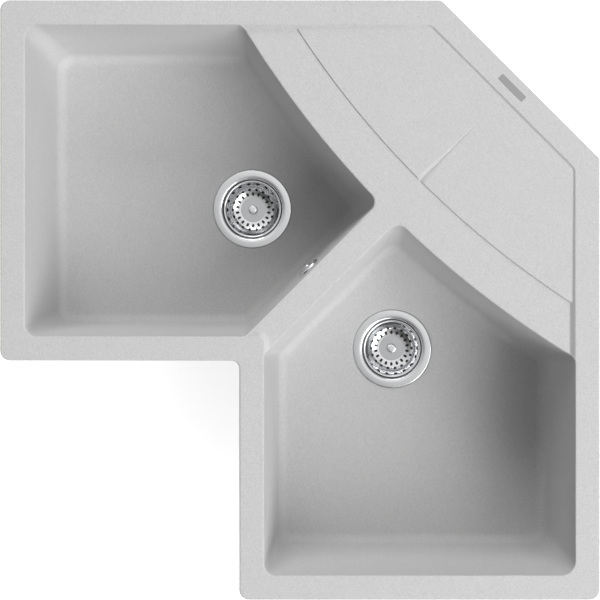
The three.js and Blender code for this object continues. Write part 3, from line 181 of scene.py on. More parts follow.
# %% [markdown]
# ## From arrays to meshes
#
# Each shape below is an array of points and a list of faces. One function puts both into a mesh,
# closes its seams by merging the points that lie on each other, and marks the edges that are sharp
# on the real piece, so that smooth shading stops there.

# %% Mesh helpers
SHARP = math.radians(38)  # an edge that turns further than this stays sharp
MERGE = 1e-6  # m, how near two points lie when they are one
# How far from its axis a pressed piece is made rougher and painted darker, in mm, and how much. The
# darker colour is painted shade, in the dish under the basket and on the basket's floor.
ROUGH_AND_SHADED_NEAR_AXIS = {"pressed_flange": (44.7, 1.0), "basket": (18.9, 0.25)}


def grid_faces(rows, columns, closed):
    """Quads of a grid of rows x columns points. closed joins the last column to the first."""
    across = np.arange(columns if closed else columns - 1)
    nxt = (across + 1) % columns
    r = np.arange(rows - 1)[:, None] * columns
    quads = [r + across, r + nxt, r + columns + nxt, r + columns + across]
    return np.stack(quads, -1).reshape(-1, 4)


def joined(parts):
    """One (points, faces) pair out of several. Faces are a list of arrays, each with faces of one
    kind as its rows."""
    points, faces, offset = [], [], 0
    for part_points, part_faces in parts:
        points.append(part_points)
        faces.extend([block + offset for block in part_faces])
        offset += len(part_points)
    return np.concatenate(points), faces


def make_piece(name, points_mm, faces, body, slot, replaces, axis=None):
    """A mesh object from points in the plan's millimetres, riding on its body, with the slot of its
    finish and the nodes that it replaces. axis is the origin and direction of a turned piece, whose
    points then carry their distance from it."""
    mesh = bpy.data.meshes.new(name)
    points = np.asarray(points_mm, float) * MM + PLAN_CENTRE
    counts = np.concatenate([np.full(len(block), block.shape[1]) for block in faces])
    corners = np.concatenate([block.ravel() for block in faces])
    mesh.vertices.add(len(points))
    mesh.vertices.foreach_set("co", points.astype(np.float32).ravel())
    mesh.loops.add(len(corners))
    mesh.loops.foreach_set("vertex_index", corners.astype(np.int32))
    mesh.polygons.add(len(counts))
    starts = np.concatenate([[0], np.cumsum(counts)[:-1]])
    mesh.polygons.foreach_set("loop_start", starts.astype(np.int32))
    mesh.update(calc_edges=True)
    mesh.validate()
    weld(mesh)
    if axis is not None:
        store_distance(mesh, *axis)
    mesh.shade_smooth()
    mesh.set_sharp_from_angle(angle=SHARP)
    piece = bpy.data.objects.new(name, mesh)
    bpy.context.scene.collection.objects.link(piece)
    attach(piece, body)
    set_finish(piece, slot)
    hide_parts(*replaces)
    return piece


def weld(mesh):
    """Points that lie on each other become one, faces that closed up to nothing go, and the faces
    of each closed shell are turned to point outwards."""
    work = bmesh.new()
    work.from_mesh(mesh)
    bmesh.ops.remove_doubles(work, verts=work.verts, dist=MERGE)
    bmesh.ops.dissolve_degenerate(work, edges=work.edges, dist=MERGE)
    bmesh.ops.recalc_face_normals(work, faces=work.faces)
    work.to_mesh(mesh)
    work.free()


def store(mesh, name, values):
    """One number for each point of a mesh, for its material to read."""
    mesh.attributes.new(name, "FLOAT", "POINT").data.foreach_set("value", values.astype(np.float32))


def store_distance(mesh, origin, direction):
    """Each point's distance from an axis: what is left of its way from the origin once the part
    along the axis is taken off. Pressed pieces also store how much rougher they are near it, and
    how much painted shade they take there."""
    points = np.empty(len(mesh.vertices) * 3, np.float32)
    mesh.vertices.foreach_get("co", points)
    away = points.reshape(-1, 3) - (np.asarray(origin) * MM + PLAN_CENTRE)
    away -= (away @ direction)[:, None] * np.asarray(direction)
    distance = np.linalg.norm(away, axis=1)
    store(mesh, "from_axis", distance)
    for kind, (radius, shade_and_dullness) in ROUGH_AND_SHADED_NEAR_AXIS.items():
        if mesh.name.startswith(kind):
            store(mesh, "as_drawn", (distance < radius * MM) * shade_and_dullness)


# %% [markdown]
# ## Outlines
#
# The sink's plan is made of straight edges and one round edge, with a radius at each corner. An
# edge is held as a function that tells how deep a point lies inside it. A rounded corner's centre
# is then the point that lies one radius inside both its edges, which Newton's method finds.
# Outlines at any inset come from the same edges, and have the same number of points, so they can
# be skinned like the frames of a boat.

# %% Edges of the plan
ARC_CENTRE = np.array([1, 1]) * (BOWL_CURVE_AT + BOWL_CURVE_RADIUS) * DIAGONAL
NEWTON_STEPS = 12


def line_edge(x, y, offset):
    """Depth inside a straight edge: the distance along its inward normal, less its offset."""
    normal = np.array([x, y]) / math.hypot(x, y)
    return {"depth": lambda p: p @ normal - offset, "inward": lambda p: normal + 0 * p}


def arc_edge(radius, side):
    """Depth inside a round edge: the distance from its centre less its radius, times side."""
    def inward(p):
        out = p - ARC_CENTRE
        return side * out / np.linalg.norm(out, axis=-1, keepdims=True)
    return {
        "depth": lambda p: side * (np.linalg.norm(p - ARC_CENTRE, axis=-1) - radius),
        "inward": inward,
    }


def onto(edge, points, depth):
    """Points moved straight in or out, to lie at one depth inside an edge."""
    return points + edge["inward"](points) * (depth - edge["depth"](points))[..., None]


def meeting(a, b, depth_a, depth_b):
    """The point at depth_a inside edge a and depth_b inside edge b, by Newton's method."""
    p = np.zeros(2)
    for _ in range(NEWTON_STEPS):
        slopes = np.array([a["inward"](p), b["inward"](p)])
        p = p - np.linalg.solve(slopes, [a["depth"](p) - depth_a, b["depth"](p) - depth_b])
    return p


def arc_between(start, end, centre, steps):
    """steps + 1 points turned from start to end round a centre, the short way."""
    u, v = start - centre, end - centre
    sweep = math.atan2(u[0] * v[1] - u[1] * v[0], u @ v)
    angle = np.linspace(0, sweep, steps + 1)[:, None]
    return centre + u * np.cos(angle) + np.array([-u[1], u[0]]) * np.sin(angle)


def outline(sides, insets, radii):
    """A closed outline, anticlockwise. Each side has an edge, its share of points and a corner
    with the next side. A corner's centre lies one radius further in than both its edges, and the
    points between two corners are spread evenly and moved onto the edge. A negative radius is a
    corner that turns the other way."""
    n = len(sides)
    corners = []
    for i, side in enumerate(sides):
        j = (i + 1) % n
        edge, following = side["edge"], sides[j]["edge"]
        centre = meeting(edge, following, insets[i] + radii[i], insets[j] + radii[i])
        start, end = onto(edge, centre, insets[i]), onto(following, centre, insets[j])
        corners.append(arc_between(start, end, centre, side["turn"]))
    points = []
    for i in range(n):
        j = (i + 1) % n
        share = np.linspace(0, 1, sides[j]["steps"] + 1)[1:-1, None]
        between = corners[i][-1] * (1 - share) + corners[j][0] * share
        points += [corners[i], onto(sides[j]["edge"], between, insets[j])]
    return np.concatenate(points)


def raised(points, z):
    """Plan points lifted to one height, or each to its own."""
    return np.column_stack([points, np.broadcast_to(z, len(points))])


# %% Sides of the sink and of a bowl
LEFT = line_edge(1, 0, -HALF)
BACK = line_edge(0, -1, -HALF)
RIGHT = line_edge(-1, 0, -HALF)
NEAR = line_edge(0, 1, -HALF)
FRONT_LEFT = line_edge(0, 1, -FRONT)
FRONT_RIGHT = line_edge(1, 0, -FRONT)
CUT_CORNER = line_edge(-1, -1, -CORNER_CUT_T)

BODY = [
    {"edge": LEFT, "corner": OUTER_RADIUS, "turn": 8, "steps": 40},
    {"edge": FRONT_LEFT, "corner": -INNER_CORNER_RADIUS, "turn": 8, "steps": 30},
    {"edge": FRONT_RIGHT, "corner": OUTER_RADIUS, "turn": 8, "steps": 30},
    {"edge": NEAR, "corner": OUTER_RADIUS, "turn": 8, "steps": 40},
    {"edge": RIGHT, "corner": CUT_RADIUS, "turn": 6, "steps": 50},
    {"edge": CUT_CORNER, "corner": CUT_RADIUS, "turn": 6, "steps": 30},
    {"edge": BACK, "corner": OUTER_RADIUS, "turn": 8, "steps": 50},
]
BOWL = [
    {"edge": LEFT, "rim": RIM_WIDTH, "corner": 16, "turn": 12, "steps": 90},
    {"edge": FRONT_LEFT, "rim": RIM_WIDTH, "corner": 12, "turn": 10, "steps": 60},
    {"edge": line_edge(-1, 1, DIVIDER_WIDTH / 2), "rim": 0, "corner": 15, "turn": 12, "steps": 52},
    {"edge": arc_edge(BOWL_CURVE_RADIUS, 1), "rim": 0, "corner": 15, "turn": 12, "steps": 74},
    {"edge": BACK, "rim": RIM_WIDTH, "corner": 20, "turn": 12, "steps": 60},
]


def body_outline(inset):
    """The moulding's outline, set in by one inset all round."""
    radii = [max(s["corner"] - inset, 2) if s["corner"] > 0 else s["corner"] - inset for s in BODY]
    return outline(BODY, [inset] * len(BODY), radii)


def bowl_outline(z, grow):
    """The wall of the left bowl at one height, moved outwards by grow. It leans in by its draft,
    and its corners grow rounder towards the floor."""
    below = RIM_HEIGHT - z
    rounder = BOWL_CORNER_GROWTH * min(1, below / BOWL_DEPTH)
    insets = [s["rim"] + DRAFT * below - grow for s in BOWL]
    radii = [max(s["corner"] + rounder + grow, 2) for s in BOWL]
    return outline(BOWL, insets, radii)


print("points round the rim:", len(body_outline(0)), "and round a bowl:", len(bowl_outline(0, 0)))

# %% [markdown]
# ## The deck
#
# The rim, the tap ledge, the drainer and the divider are one surface with shallow steps, all of it
# visible from above, so it can be a height for each point of the plan. Each step is a ramp of
# its distance to an edge, and the ramps are joined with a rounded minimum and maximum, which gives
# the soft inner and outer edges that a casting has.

# %% Height of the deck
SOFT = 0.55  # rounding of the steps' edges, as a drop in mm
TINY = 1e-6  # the least rounding, so that nothing is divided by zero
NO_LENGTH = 1e-12  # and the same for the square of a segment's length
INTO_BOWL = 30  # how far the divider's step runs on over the bowls
OVER_BOWLS = 40  # how far over the bowls the outline round the drainer closes
GROOVE_LEAD = 3  # how far in front of the drainer the groove may begin
RIM_SIDES = [
    {"edge": RIGHT, "corner": DRAINER_CORNER_RADIUS, "turn": 10, "steps": 170},
    {"edge": CUT_CORNER, "corner": DRAINER_CORNER_RADIUS, "turn": 10, "steps": 100},
    {"edge": BACK, "corner": 2, "turn": 2, "steps": 170},
    {"edge": arc_edge(BOWL_CURVE_RADIUS + OVER_BOWLS, -1), "corner": 2, "turn": 2, "steps": 60},
]


def soft_ramp(x, soft=SOFT):
    """max(x, 0) with its corner rounded into a parabola of half width soft."""
    return np.where(x > soft, x, np.where(x < -soft, 0, (x + soft) ** 2 / (4 * soft)))


def soft_min(a, b):
    """The smaller of two drops, rounded where they are within SOFT of each other: the first, less
    the soft ramp of how much larger it is."""
    return a - soft_ramp(a - b)


def soft_max(a, b):
    """The larger of two drops, rounded where they are nearly the same: the first, plus the soft
    ramp of how much larger the second is. Where both are small the rounding is small too, so that
    nothing stays nothing."""
    return a + soft_ramp(b - a, np.clip(np.maximum(a, b) / 2, TINY, SOFT))


def distance_inside(points, loop):
    """Signed distance from points to a closed loop: to its nearest segment, and positive where a
    line that leaves the point to one side crosses the loop an odd number of times."""
    a, b = loop, np.roll(loop, -1, 0)
    best = np.full(len(points), np.inf)
    inside = np.zeros(len(points), bool)
    for start, end in zip(a, b):
        along = end - start
        share = np.clip((points - start) @ along / max(along @ along, NO_LENGTH), 0, 1)
        gap = points - (start + share[:, None] * along)
        best = np.minimum(best, np.einsum("ij,ij->i", gap, gap))
        if start[1] != end[1]:
            across = (start[1] > points[:, 1]) != (end[1] > points[:, 1])
            at = start[0] + (points[:, 1] - start[1]) * along[0] / along[1]
            inside ^= across & (points[:, 0] < at)
    return np.where(inside, 1, -1) * np.sqrt(best)


def rounded_both(a, b, radius):
    """Depth inside two edges at once: the smaller of both, or near their corner the radius less
    the distance from the centre of the rounding."""
    near = (a < radius) & (b < radius)
    return np.where(near, radius - np.hypot(radius - a, radius - b), np.minimum(a, b))


def drainer_drop(t):
    """The drainer rises from the ledge to the cut-off corner, in proportion to the way there."""
    share = (t - LEDGE_BACK_T) / (CORNER_CUT_T - RIM_WIDTH - LEDGE_BACK_T)
    return DRAINER_DROP + (DRAINER_BACK_DROP - DRAINER_DROP) * share


def rim_outline(further):
    """The rim's inner edge round the drainer, moved further in. It closes over the bowls."""
    radii = [max(side["corner"] - further, 1) for side in RIM_SIDES]
    return outline(RIM_SIDES, [RIM_WIDTH + further] * 3 + [0], radii)


def deck_height(points):
    """Height of the deck over each point of the plan: the rim's, less the largest of the drops
    that its distances to the steps give. s runs across the divider and t along it."""
    s, t = (points[:, 1] - points[:, 0]) * DIAGONAL, (points[:, 1] + points[:, 0]) * DIAGONAL
    from_rim = distance_inside(points, rim_outline(0)) / STEP_SLOPE
    to_ledge = arc_edge(BOWL_CURVE_RADIUS - LEDGE_WIDTH, 1)["depth"](points) / LEDGE_STEP_SLOPE
    drainer = soft_min(soft_ramp(from_rim), drainer_drop(t))
    corner = rounded_both(from_rim, to_ledge, LEDGE_CORNER_RADIUS / STEP_SLOPE)
    level = np.full(len(points), float(LEDGE_DROP))
    ledge = soft_min(soft_ramp(corner), level)
    a = FRONT_LEFT["depth"](points) - RIM_WIDTH + DIVIDER_END_RADIUS
    b = FRONT_RIGHT["depth"](points) - RIM_WIDTH + DIVIDER_END_RADIUS
    past_end = np.hypot(np.maximum(a, 0), np.maximum(b, 0)) - DIVIDER_END_RADIUS
    past_end = np.minimum(past_end, BOWL_CURVE_AT + LEDGE_WIDTH / 2 - t) / STEP_SLOPE
    divider = soft_min(soft_ramp(past_end), level)
    divider = np.where(np.abs(s) < DIVIDER_WIDTH / 2 + INTO_BOWL, divider, 0)
    run = np.clip((t - LEDGE_BACK_T) / GROOVE_LENGTH, 0, 1)
    mouth = LEDGE_DROP - DRAINER_DROP
    groove = drainer + mouth * (1 - run) - np.abs(s) * mouth / (GROOVE_WIDTH / 2)
    drop = np.maximum(soft_max(drainer, ledge), divider)
    deeper = drop + soft_ramp(groove - drop, np.clip(mouth * (1 - run), TINY, SOFT / 2))
    deeper = np.minimum(deeper, np.maximum(drop, LEDGE_DROP))
    return RIM_HEIGHT - np.where(t > LEDGE_BACK_T - GROOVE_LEAD, deeper, drop)


# %% [markdown]
# The deck's points are laid where its height changes: rows along each step at several distances
# from it, rows along the groove, and a wide grid on the flat parts. A Delaunay triangulation that
# is tied to the outline and to the mouths of the bowls joins them up.

# %% Triangulation
CDT_NEAR = 1e-4  # mm, how near two points of a pattern lie when they are one
NO_TURN = 1e-3  # mm2, twice the area of a triangle that is only a line


def triangulated(loops, loose, keep):
    """Triangles of a plan. Closed loops are kept as edges, the outer one first, and keep tells by
    its middle whether a triangle belongs to the piece. A sliver along a straight edge has its
    middle on that edge, so there the way that its corners turn tells it."""
    points = np.concatenate(loops + loose)
    edges, offset = [], 0
    for loop in loops:
        here = np.arange(len(loop)) + offset
        edges.append(np.column_stack([here, np.roll(here, -1)]))
        offset += len(loop)
    made, _, faces, _, _, _ = delaunay_2d_cdt(
        [Vector(p) for p in points], np.concatenate(edges).tolist(), [], 0, CDT_NEAR)
    plan, triangles = np.array([tuple(v) for v in made]), np.array(faces)
    kept = keep(plan[triangles].mean(1))
    ends = np.cumsum([len(loop) for loop in loops])
    on_loop = np.searchsorted(ends, triangles, side="right")
    same = (on_loop == on_loop[:, :1]).all(1) & (on_loop[:, 0] < len(loops))
    a, b, c = (plan[np.sort(triangles, 1)[:, k]] for k in range(3))
    turn = (b - a)[:, 0] * (c - a)[:, 1] - (b - a)[:, 1] * (c - a)[:, 0]
    sliver = same & (np.abs(turn) < NO_TURN)
    kept[sliver] = (turn[sliver] > 0) == (on_loop[sliver, 0] == 0)
    return plan, triangles[kept]


def clear_of(points, holes, margin=0.0):
    """True where a point lies outside every hole, at least margin away from its edge."""
    return np.all([distance_inside(points, hole) < -margin for hole in holes], 0)


# %% Rows of points on the deck
STEP_ROWS = np.array([  # distances from a step's edge
    -1.4, -0.9, -0.4, 0, 0.4, 0.9, 1.5, 2.2, 3, 3.8, 4.6, 5.3, 5.9, 6.4, 6.9, 7.5, 8.2])
LEDGE_ROWS = np.arange(0.6, 4.0, 0.3)  # the same for the steeper step of the ledge
LEDGE_REACH = 345
LEDGE_SPACING = 2.5
END_POINTS = 14
END_RUN = 28
END_SPACING = 2
GROOVE_ROWS = np.array([-1.3, -1.1, -0.9, -0.7, -0.45, -0.2, 0, 0.2, 0.45, 0.7, 0.9, 1.1, 1.3])
GROOVE_POINTS = 44


def swapped(points):
    """The same points on the other side of the diagonal, and still anticlockwise."""
    return points[::-1][:, [1, 0, *range(2, points.shape[1])]]


def rim_rows():
    """Rows along the rim's inner edge, from just outside the step to just inside it."""
    return np.concatenate([rim_outline(distance) for distance in STEP_ROWS])


def ledge_rows():
    """Rows along the step from the drainer down to the ledge."""
    s = np.arange(-LEDGE_REACH, LEDGE_REACH, LEDGE_SPACING)
    edge = arc_edge(BOWL_CURVE_RADIUS - LEDGE_WIDTH, 1)
    start = np.column_stack([LEDGE_BACK_T - s, LEDGE_BACK_T + s]) * DIAGONAL
    return np.concatenate([onto(edge, start, distance) for distance in LEDGE_ROWS])


def divider_rows():
    """Rows round the divider's end: quarter circles that run straight on along both arms."""
    middle = RIM_WIDTH - DIVIDER_END_RADIUS - FRONT
    angle = np.linspace(0, math.pi / 2, END_POINTS)
    run = np.arange(middle - END_RUN, middle, END_SPACING)
    rows = []
    for distance in STEP_ROWS:
        radius = DIVIDER_END_RADIUS + distance
        arm = np.column_stack([run, np.full(len(run), middle + radius)])
        arc = middle + radius * np.column_stack([np.cos(angle), np.sin(angle)])
        rows += [arc, arm, arm[:, ::-1]]
    return np.concatenate(rows)


def groove_rows():
    """Rows that fan out from the groove's end to its mouth, across the whole V: each is a share of
    half the groove's width there, which 1 mm is added to so that the rows never meet."""
    along = np.linspace(LEDGE_BACK_T - 2, LEDGE_BACK_T + GROOVE_LENGTH + 3, GROOVE_POINTS)
    t, share = np.meshgrid(along, GROOVE_ROWS)
    run = np.clip((t - LEDGE_BACK_T) / GROOVE_LENGTH, 0, 1)
    s = share * (GROOVE_WIDTH / 2 * (1 - run) + 1)
    return np.column_stack([((t - s) * DIAGONAL).ravel(), ((t + s) * DIAGONAL).ravel()])


def flat_grid(spacing):
    """A square grid over the whole plan."""
    line = np.arange(-HALF + spacing, HALF, spacing)
    x, y = np.meshgrid(line, line)
    return np.column_stack([x.ravel(), y.ravel()])


# %% The deck's surface
FLAT_BAND = 1.2  # level strip beside each rounding, so that smooth shading ends there
DECK_SPACING = 11
EDGE_MARGIN = 0.5
mouth = bowl_outline(RIM_HEIGHT, BOWL_LIP)
deck_hole = bowl_outline(RIM_HEIGHT, BOWL_LIP + FLAT_BAND)
deck_edge = body_outline(RIM_ROUND + FLAT_BAND)
deck_holes = [deck_hole, swapped(deck_hole)]


def in_deck(points, margin=0.0):
    """True where a point lies on the deck, at least margin away from its edges."""
    return (distance_inside(points, deck_edge) > margin) & clear_of(points, deck_holes, margin)


loose = np.concatenate(
    [rim_rows(), ledge_rows(), divider_rows(), groove_rows(), flat_grid(DECK_SPACING)])
loose = loose[in_deck(loose, EDGE_MARGIN)]
deck_plan, deck_triangles = triangulated([deck_edge, *deck_holes], [loose], in_deck)
deck = (raised(deck_plan, deck_height(deck_plan)), [deck_triangles])
print("deck:", len(deck_plan), "points,", len(deck_triangles), "triangles")

# %% [markdown]
# ## Bowls
#
# A bowl is a set of outlines, one below the other: round the lip, down the leaning wall, round
# the foot, over the falling floor and down into the seat of the waste, then through the hole,
# out under the floor and up the outside. Every outline has the same number of points, so the
# whole bowl is one closed grid.

# %% Rows of a bowl
WASTE_S = 149.2
WASTE_T = 43.1
WASTE_CENTRE = np.array([WASTE_T - WASTE_S, WASTE_T + WASTE_S]) * DIAGONAL
WASTE_HOLE_RADIUS = 45
WASTE_HOLE_CHAMFER = 4.5
SEAT_RADIUS = 59.3
SEAT_REBATE = 2.2
WASTE_SEAT = FLOOR_LOW - SEAT_REBATE
LIP_ROWS = 6
WALL_ROWS = 12
FOOT_ROWS = 9
FLOOR_SHARES = (0.25, 0.5, 0.75)  # rows of the falling floor, from its foot to the level ring


def quarter(rows):
    """Angles of a quarter turn, with both ends."""
    return np.linspace(0, math.pi / 2, rows + 1)


def foot_rows(floor, radius, grow):
    """A fillet between wall and floor: a quarter circle carried round the bowl."""
    rows = []
    for a in quarter(FOOT_ROWS):
        height = floor + radius * (1 - math.sin(a))
        rows.append(raised(bowl_outline(height, grow - radius * (1 - math.cos(a))), height))
    return rows


def ring_rows(loop, steps):
    """Circles round the waste, each a (radius, height), with their points on the lines that run
    from the waste's axis to the points of a loop."""
    out = loop[:, :2] - WASTE_CENTRE
    out /= np.linalg.norm(out, axis=1, keepdims=True)
    return [raised(WASTE_CENTRE + out * radius, height) for radius, height in steps]


def on_wall(height, foot):
    """Points of the leaning wall at heights of their own, on the lines down to its foot."""
    top = raised(bowl_outline(RIM_HEIGHT, 0), RIM_HEIGHT)
    share = ((RIM_HEIGHT - height) / (RIM_HEIGHT - foot[:, 2]))[:, None]
    return top * (1 - share) + foot * share


def wall_rows(top, foot):
    """Rows between the top of a wall and its foot, without either."""
    return [top * (1 - share) + foot * share for share in np.linspace(0, 1, WALL_ROWS + 1)[1:-1]]


def bowl_inside():
    """From the lip down to the edge of the waste hole."""
    lip_height, foot = deck_height(mouth), foot_rows(FLOOR, FLOOR_FILLET, 0)
    brink = on_wall(lip_height - BOWL_LIP, foot[0])
    rows = [raised(deck_hole, deck_height(deck_hole))]
    for a in quarter(LIP_ROWS):
        level = raised(mouth * (1 - math.sin(a)) + brink[:, :2] * math.sin(a), 0)
        level[:, 2] = lip_height - BOWL_LIP * (1 - math.cos(a))
        rows.append(level)
    rows += wall_rows(brink, foot[0]) + foot
    flat = ring_rows(foot[-1], [(FLOOR_FLAT, FLOOR_LOW)])[0]
    return rows + [foot[-1] * (1 - share) + flat * share for share in FLOOR_SHARES]


def bowl_seat(loop):
    """The level ring, the rebate for the flange and the chamfered hole."""
    return ring_rows(loop, [
        (FLOOR_FLAT, FLOOR_LOW),
        (SEAT_RADIUS + 1.2, FLOOR_LOW),
        (SEAT_RADIUS + 0.4, FLOOR_LOW - 0.3),
        (SEAT_RADIUS, FLOOR_LOW - 1),
        (SEAT_RADIUS, WASTE_SEAT),
        (WASTE_HOLE_RADIUS + WASTE_HOLE_CHAMFER, WASTE_SEAT),
        (WASTE_HOLE_RADIUS, WASTE_SEAT - WASTE_HOLE_CHAMFER),
        (WASTE_HOLE_RADIUS, BOWL_UNDERSIDE),
        (SEAT_RADIUS + 4, BOWL_UNDERSIDE),
    ])


def bowl_outside():
    """From the level underside round the outer foot and up to the deck."""
    foot = foot_rows(BOWL_UNDERSIDE, FLOOR_FILLET + WALL, WALL)[::-1]
    top = raised(bowl_outline(DECK_UNDERSIDE, WALL), DECK_UNDERSIDE)
    return foot + wall_rows(foot[-1], top) + [top]


def bowl_surface():
    """All the rows of the left bowl as one grid."""
    inside = bowl_inside()
    return np.stack(inside + bowl_seat(inside[-1]) + bowl_outside())


bowl_rows = bowl_surface()
print("bowl:", bowl_rows.shape[0], "rows of", bowl_rows.shape[1], "points")

# %% [markdown]
# The overflow hole goes through the flat wall between the bowls. In the grid of the bowl it is a
# window: the quads that would lie over the hole are left out, and a ring of new quads joins the
# window's edge to the round hole. The wall is flat there, so the ring is flat too.

# %% Overflow hole
OVERFLOW_T = 39.5
OVERFLOW_DROP = 58
OVERFLOW_HOLE = 13
WINDOW = 26  # half the side of the window in the grid
SAME_PLANE = 1  # how near a point lies to the wall's face to be in the window
HOLE_STEPS = 48
TILT = math.atan(DRAFT)
UP = np.array([0, 0, 1.0])
OUT = np.array([-DIAGONAL, DIAGONAL, 0])
ALONG = np.array([DIAGONAL, DIAGONAL, 0])
WALL_NORMAL = OUT * math.cos(TILT) + UP * math.sin(TILT)
WALL_UP = UP * math.cos(TILT) - OUT * math.sin(TILT)
WALL_ACROSS = np.cross(WALL_UP, WALL_NORMAL)
OVERFLOW_CENTRE = (OUT * (DIVIDER_WIDTH / 2 + DRAFT * OVERFLOW_DROP) + ALONG * OVERFLOW_T
                   + UP * (RIM_HEIGHT - OVERFLOW_DROP))


def disc(radius, steps=20):
    """Outline of a round hole: radius times the cosine and sine of equal shares of a turn."""
    angle = np.linspace(0, 2 * math.pi, steps, endpoint=False)
    return radius * np.column_stack([np.cos(angle), np.sin(angle)])


def on_overflow_plane(local, depth):
    """Points given across and up the wall, at one depth behind its face."""
    return (OVERFLOW_CENTRE + WALL_NORMAL * depth
            + local[:, :1] * WALL_ACROSS + local[:, 1:] * WALL_UP)


def window(points, faces, depth):
    """Which faces lie round the overflow's axis at a depth, and a flat patch with the hole in it
    that fits where they were."""
    local = points - OVERFLOW_CENTRE
    across, up = local @ WALL_ACROSS, local @ WALL_UP
    near = np.abs(local @ WALL_NORMAL - depth) < SAME_PLANE
    near &= np.maximum(np.abs(across), np.abs(up)) < WINDOW
    gone = near[faces].all(1)
    sides = np.sort(np.concatenate([faces[gone][:, [k, (k + 1) % 4]] for k in range(4)]), 1)
    pairs, uses = np.unique(sides, axis=0, return_counts=True)
    edge = np.unique(pairs[uses == 1])
    edge = edge[np.argsort(np.arctan2(up[edge], across[edge]))]
    circle = disc(OVERFLOW_HOLE, HOLE_STEPS)
    frame_loop = np.column_stack([across[edge], up[edge]])
    plan, triangles = triangulated(
        [frame_loop, circle], [],
        lambda middles: (distance_inside(middles, frame_loop) > 0) & clear_of(middles, [circle]))
    return gone, (on_overflow_plane(plan, depth), [triangles]), on_overflow_plane(circle, depth)


def left_bowl():
    """The left bowl's grid, with the hole cut through its inner and outer wall."""
    points, faces = bowl_rows.reshape(-1, 3), grid_faces(*bowl_rows.shape[:2], True)
    gone_inside, patch_inside, ring_inside = window(points, faces, 0)
    gone_outside, patch_outside, ring_outside = window(points, faces, -WALL * math.cos(TILT))
    print("overflow window:", gone_inside.sum(), "faces inside and", gone_outside.sum(), "outside")
    bore = (np.concatenate([ring_inside, ring_outside]), [grid_faces(2, HOLE_STEPS, True)])
    return [(points, [faces[~(gone_inside | gone_outside)]]), patch_inside, patch_outside, bore]


# %% [markdown]
# ## Rim and underside
#
# The rim's section is carried round the outline: a round top edge, a straight edge, the seat with
# its groove for the sealing tape, and the step up to the underside of the deck.

# %% Rim section and underside
RIM_ROUND_ROWS = 7
SEAT_ROUND = 0.8
SEAT_ROUND_ROWS = 3
KNOCKOUT_ROUND = 0.6
KNOCKOUT_TOP = 0.96  # width of the knock-out's flat top, as a share of its mouth
UNDERSIDE_SPACING = 30


def rim_section():
    """(inset, height) from the deck's edge down round the rim and in under it."""
    top = [(RIM_ROUND + FLAT_BAND, RIM_HEIGHT)]
    top += [(RIM_ROUND * (1 - math.sin(a)), RIM_HEIGHT - RIM_ROUND * (1 - math.cos(a)))
            for a in quarter(RIM_ROUND_ROWS)]
    low = [(SEAT_ROUND * (1 - math.cos(a)), SEAT_ROUND * (1 - math.sin(a)))
           for a in quarter(SEAT_ROUND_ROWS)]
    groove = [(TAPE_INSET, 0), (TAPE_INSET, TAPE_THICKNESS),
              (TAPE_INSET + TAPE_WIDTH, TAPE_THICKNESS), (TAPE_INSET + TAPE_WIDTH, 0)]
    return top + low + groove + [(SEAT_WIDTH, 0), (SEAT_WIDTH + 1, DECK_UNDERSIDE)]


rim_loops = np.stack([raised(body_outline(inset), z) for inset, z in rim_section()])
rim = (rim_loops.reshape(-1, 3), [grid_faces(len(rim_loops), rim_loops.shape[1], True)[:, ::-1]])


def underside():
    """The flat underside between the seat and the two bowls, round the knock-out."""
    edge, wall = rim_loops[-1][:, :2], bowl_outline(DECK_UNDERSIDE, WALL)
    knock = np.array([1, 1]) * (BOWL_CURVE_AT + LEDGE_WIDTH / 2) * DIAGONAL
    circle = knock + disc(KNOCKOUT_RADIUS, HOLE_STEPS)
    holes = [wall, swapped(wall), circle]

    def keep(points):
        return (distance_inside(points, edge) > 0) & clear_of(points, holes)

    grid = flat_grid(UNDERSIDE_SPACING)
    plan, triangles = triangulated([edge, *holes], [grid[keep(grid)]], keep)
    flat = (raised(plan, DECK_UNDERSIDE), [triangles[:, ::-1]])
    depth = DECK_UNDERSIDE + KNOCKOUT_DEPTH
    rows = np.stack([raised(circle, DECK_UNDERSIDE), raised(circle, depth - KNOCKOUT_ROUND),
                     raised(knock + (circle - knock) * KNOCKOUT_TOP, depth),
                     raised(knock + 0 * circle, depth)])
    cap = (rows.reshape(-1, 3), [grid_faces(len(rows), HOLE_STEPS, True)[:, ::-1]])
    return [flat, cap]


# %% [markdown]
# The clips hook into lugs that hang from the deck. Each lug is a small block with a slot in its
# outer face. It is drawn once, as if its clip stood at the origin, and then turned and moved to the
# nine places of the clips.

# %% Clip lugs
LUG_INSET = 19
LUG_LENGTH = 9
LUG_WIDTH = 26
LUG_DEPTH = 18
LUG_ROOT = 0.5  # how far a lug goes into the deck
GAP = 0.3  # play between pieces that fit into each other
CLIP_WIDTH = 18
CLIP_STEEL = 2
CLIP_TONGUE = 5.5
CLIP_TONGUE_DEPTH = 11
SIDE_CLIPS = (250, 20)
BACK_CLIP = -215
FRONT_CLIP = -230
CLIPS = ([(-HALF, along, math.pi) for along in SIDE_CLIPS]
         + [(along, -HALF, -math.pi / 2) for along in SIDE_CLIPS]
         + [(BACK_CLIP, HALF, math.pi / 2), (HALF, BACK_CLIP, 0),
            (FRONT_CLIP, -FRONT, -math.pi / 2), (-FRONT, FRONT_CLIP, math.pi),
            (CORNER_CUT_T * DIAGONAL, CORNER_CUT_T * DIAGONAL, math.pi / 4)])


def placed(part, axes, origin):
    """A part drawn on its own axes, given as the rows x, y and z, moved to its place."""
    points, faces = part
    return points @ np.asarray(axes) + origin, faces


def turn_about_z(angle):
    """The rows x, y and z of axes turned about Z: a cosine and a sine each for x and y."""
    c, s = math.cos(angle), math.sin(angle)
    return np.array([[c, s, 0], [-s, c, 0], [0, 0, 1]])


def at_clip(part, clip):
    """A part drawn for a clip at the origin, facing +X, moved to one clip's place."""
    x, y, turn = clip
    return placed(part, turn_about_z(turn), [x, y, 0])


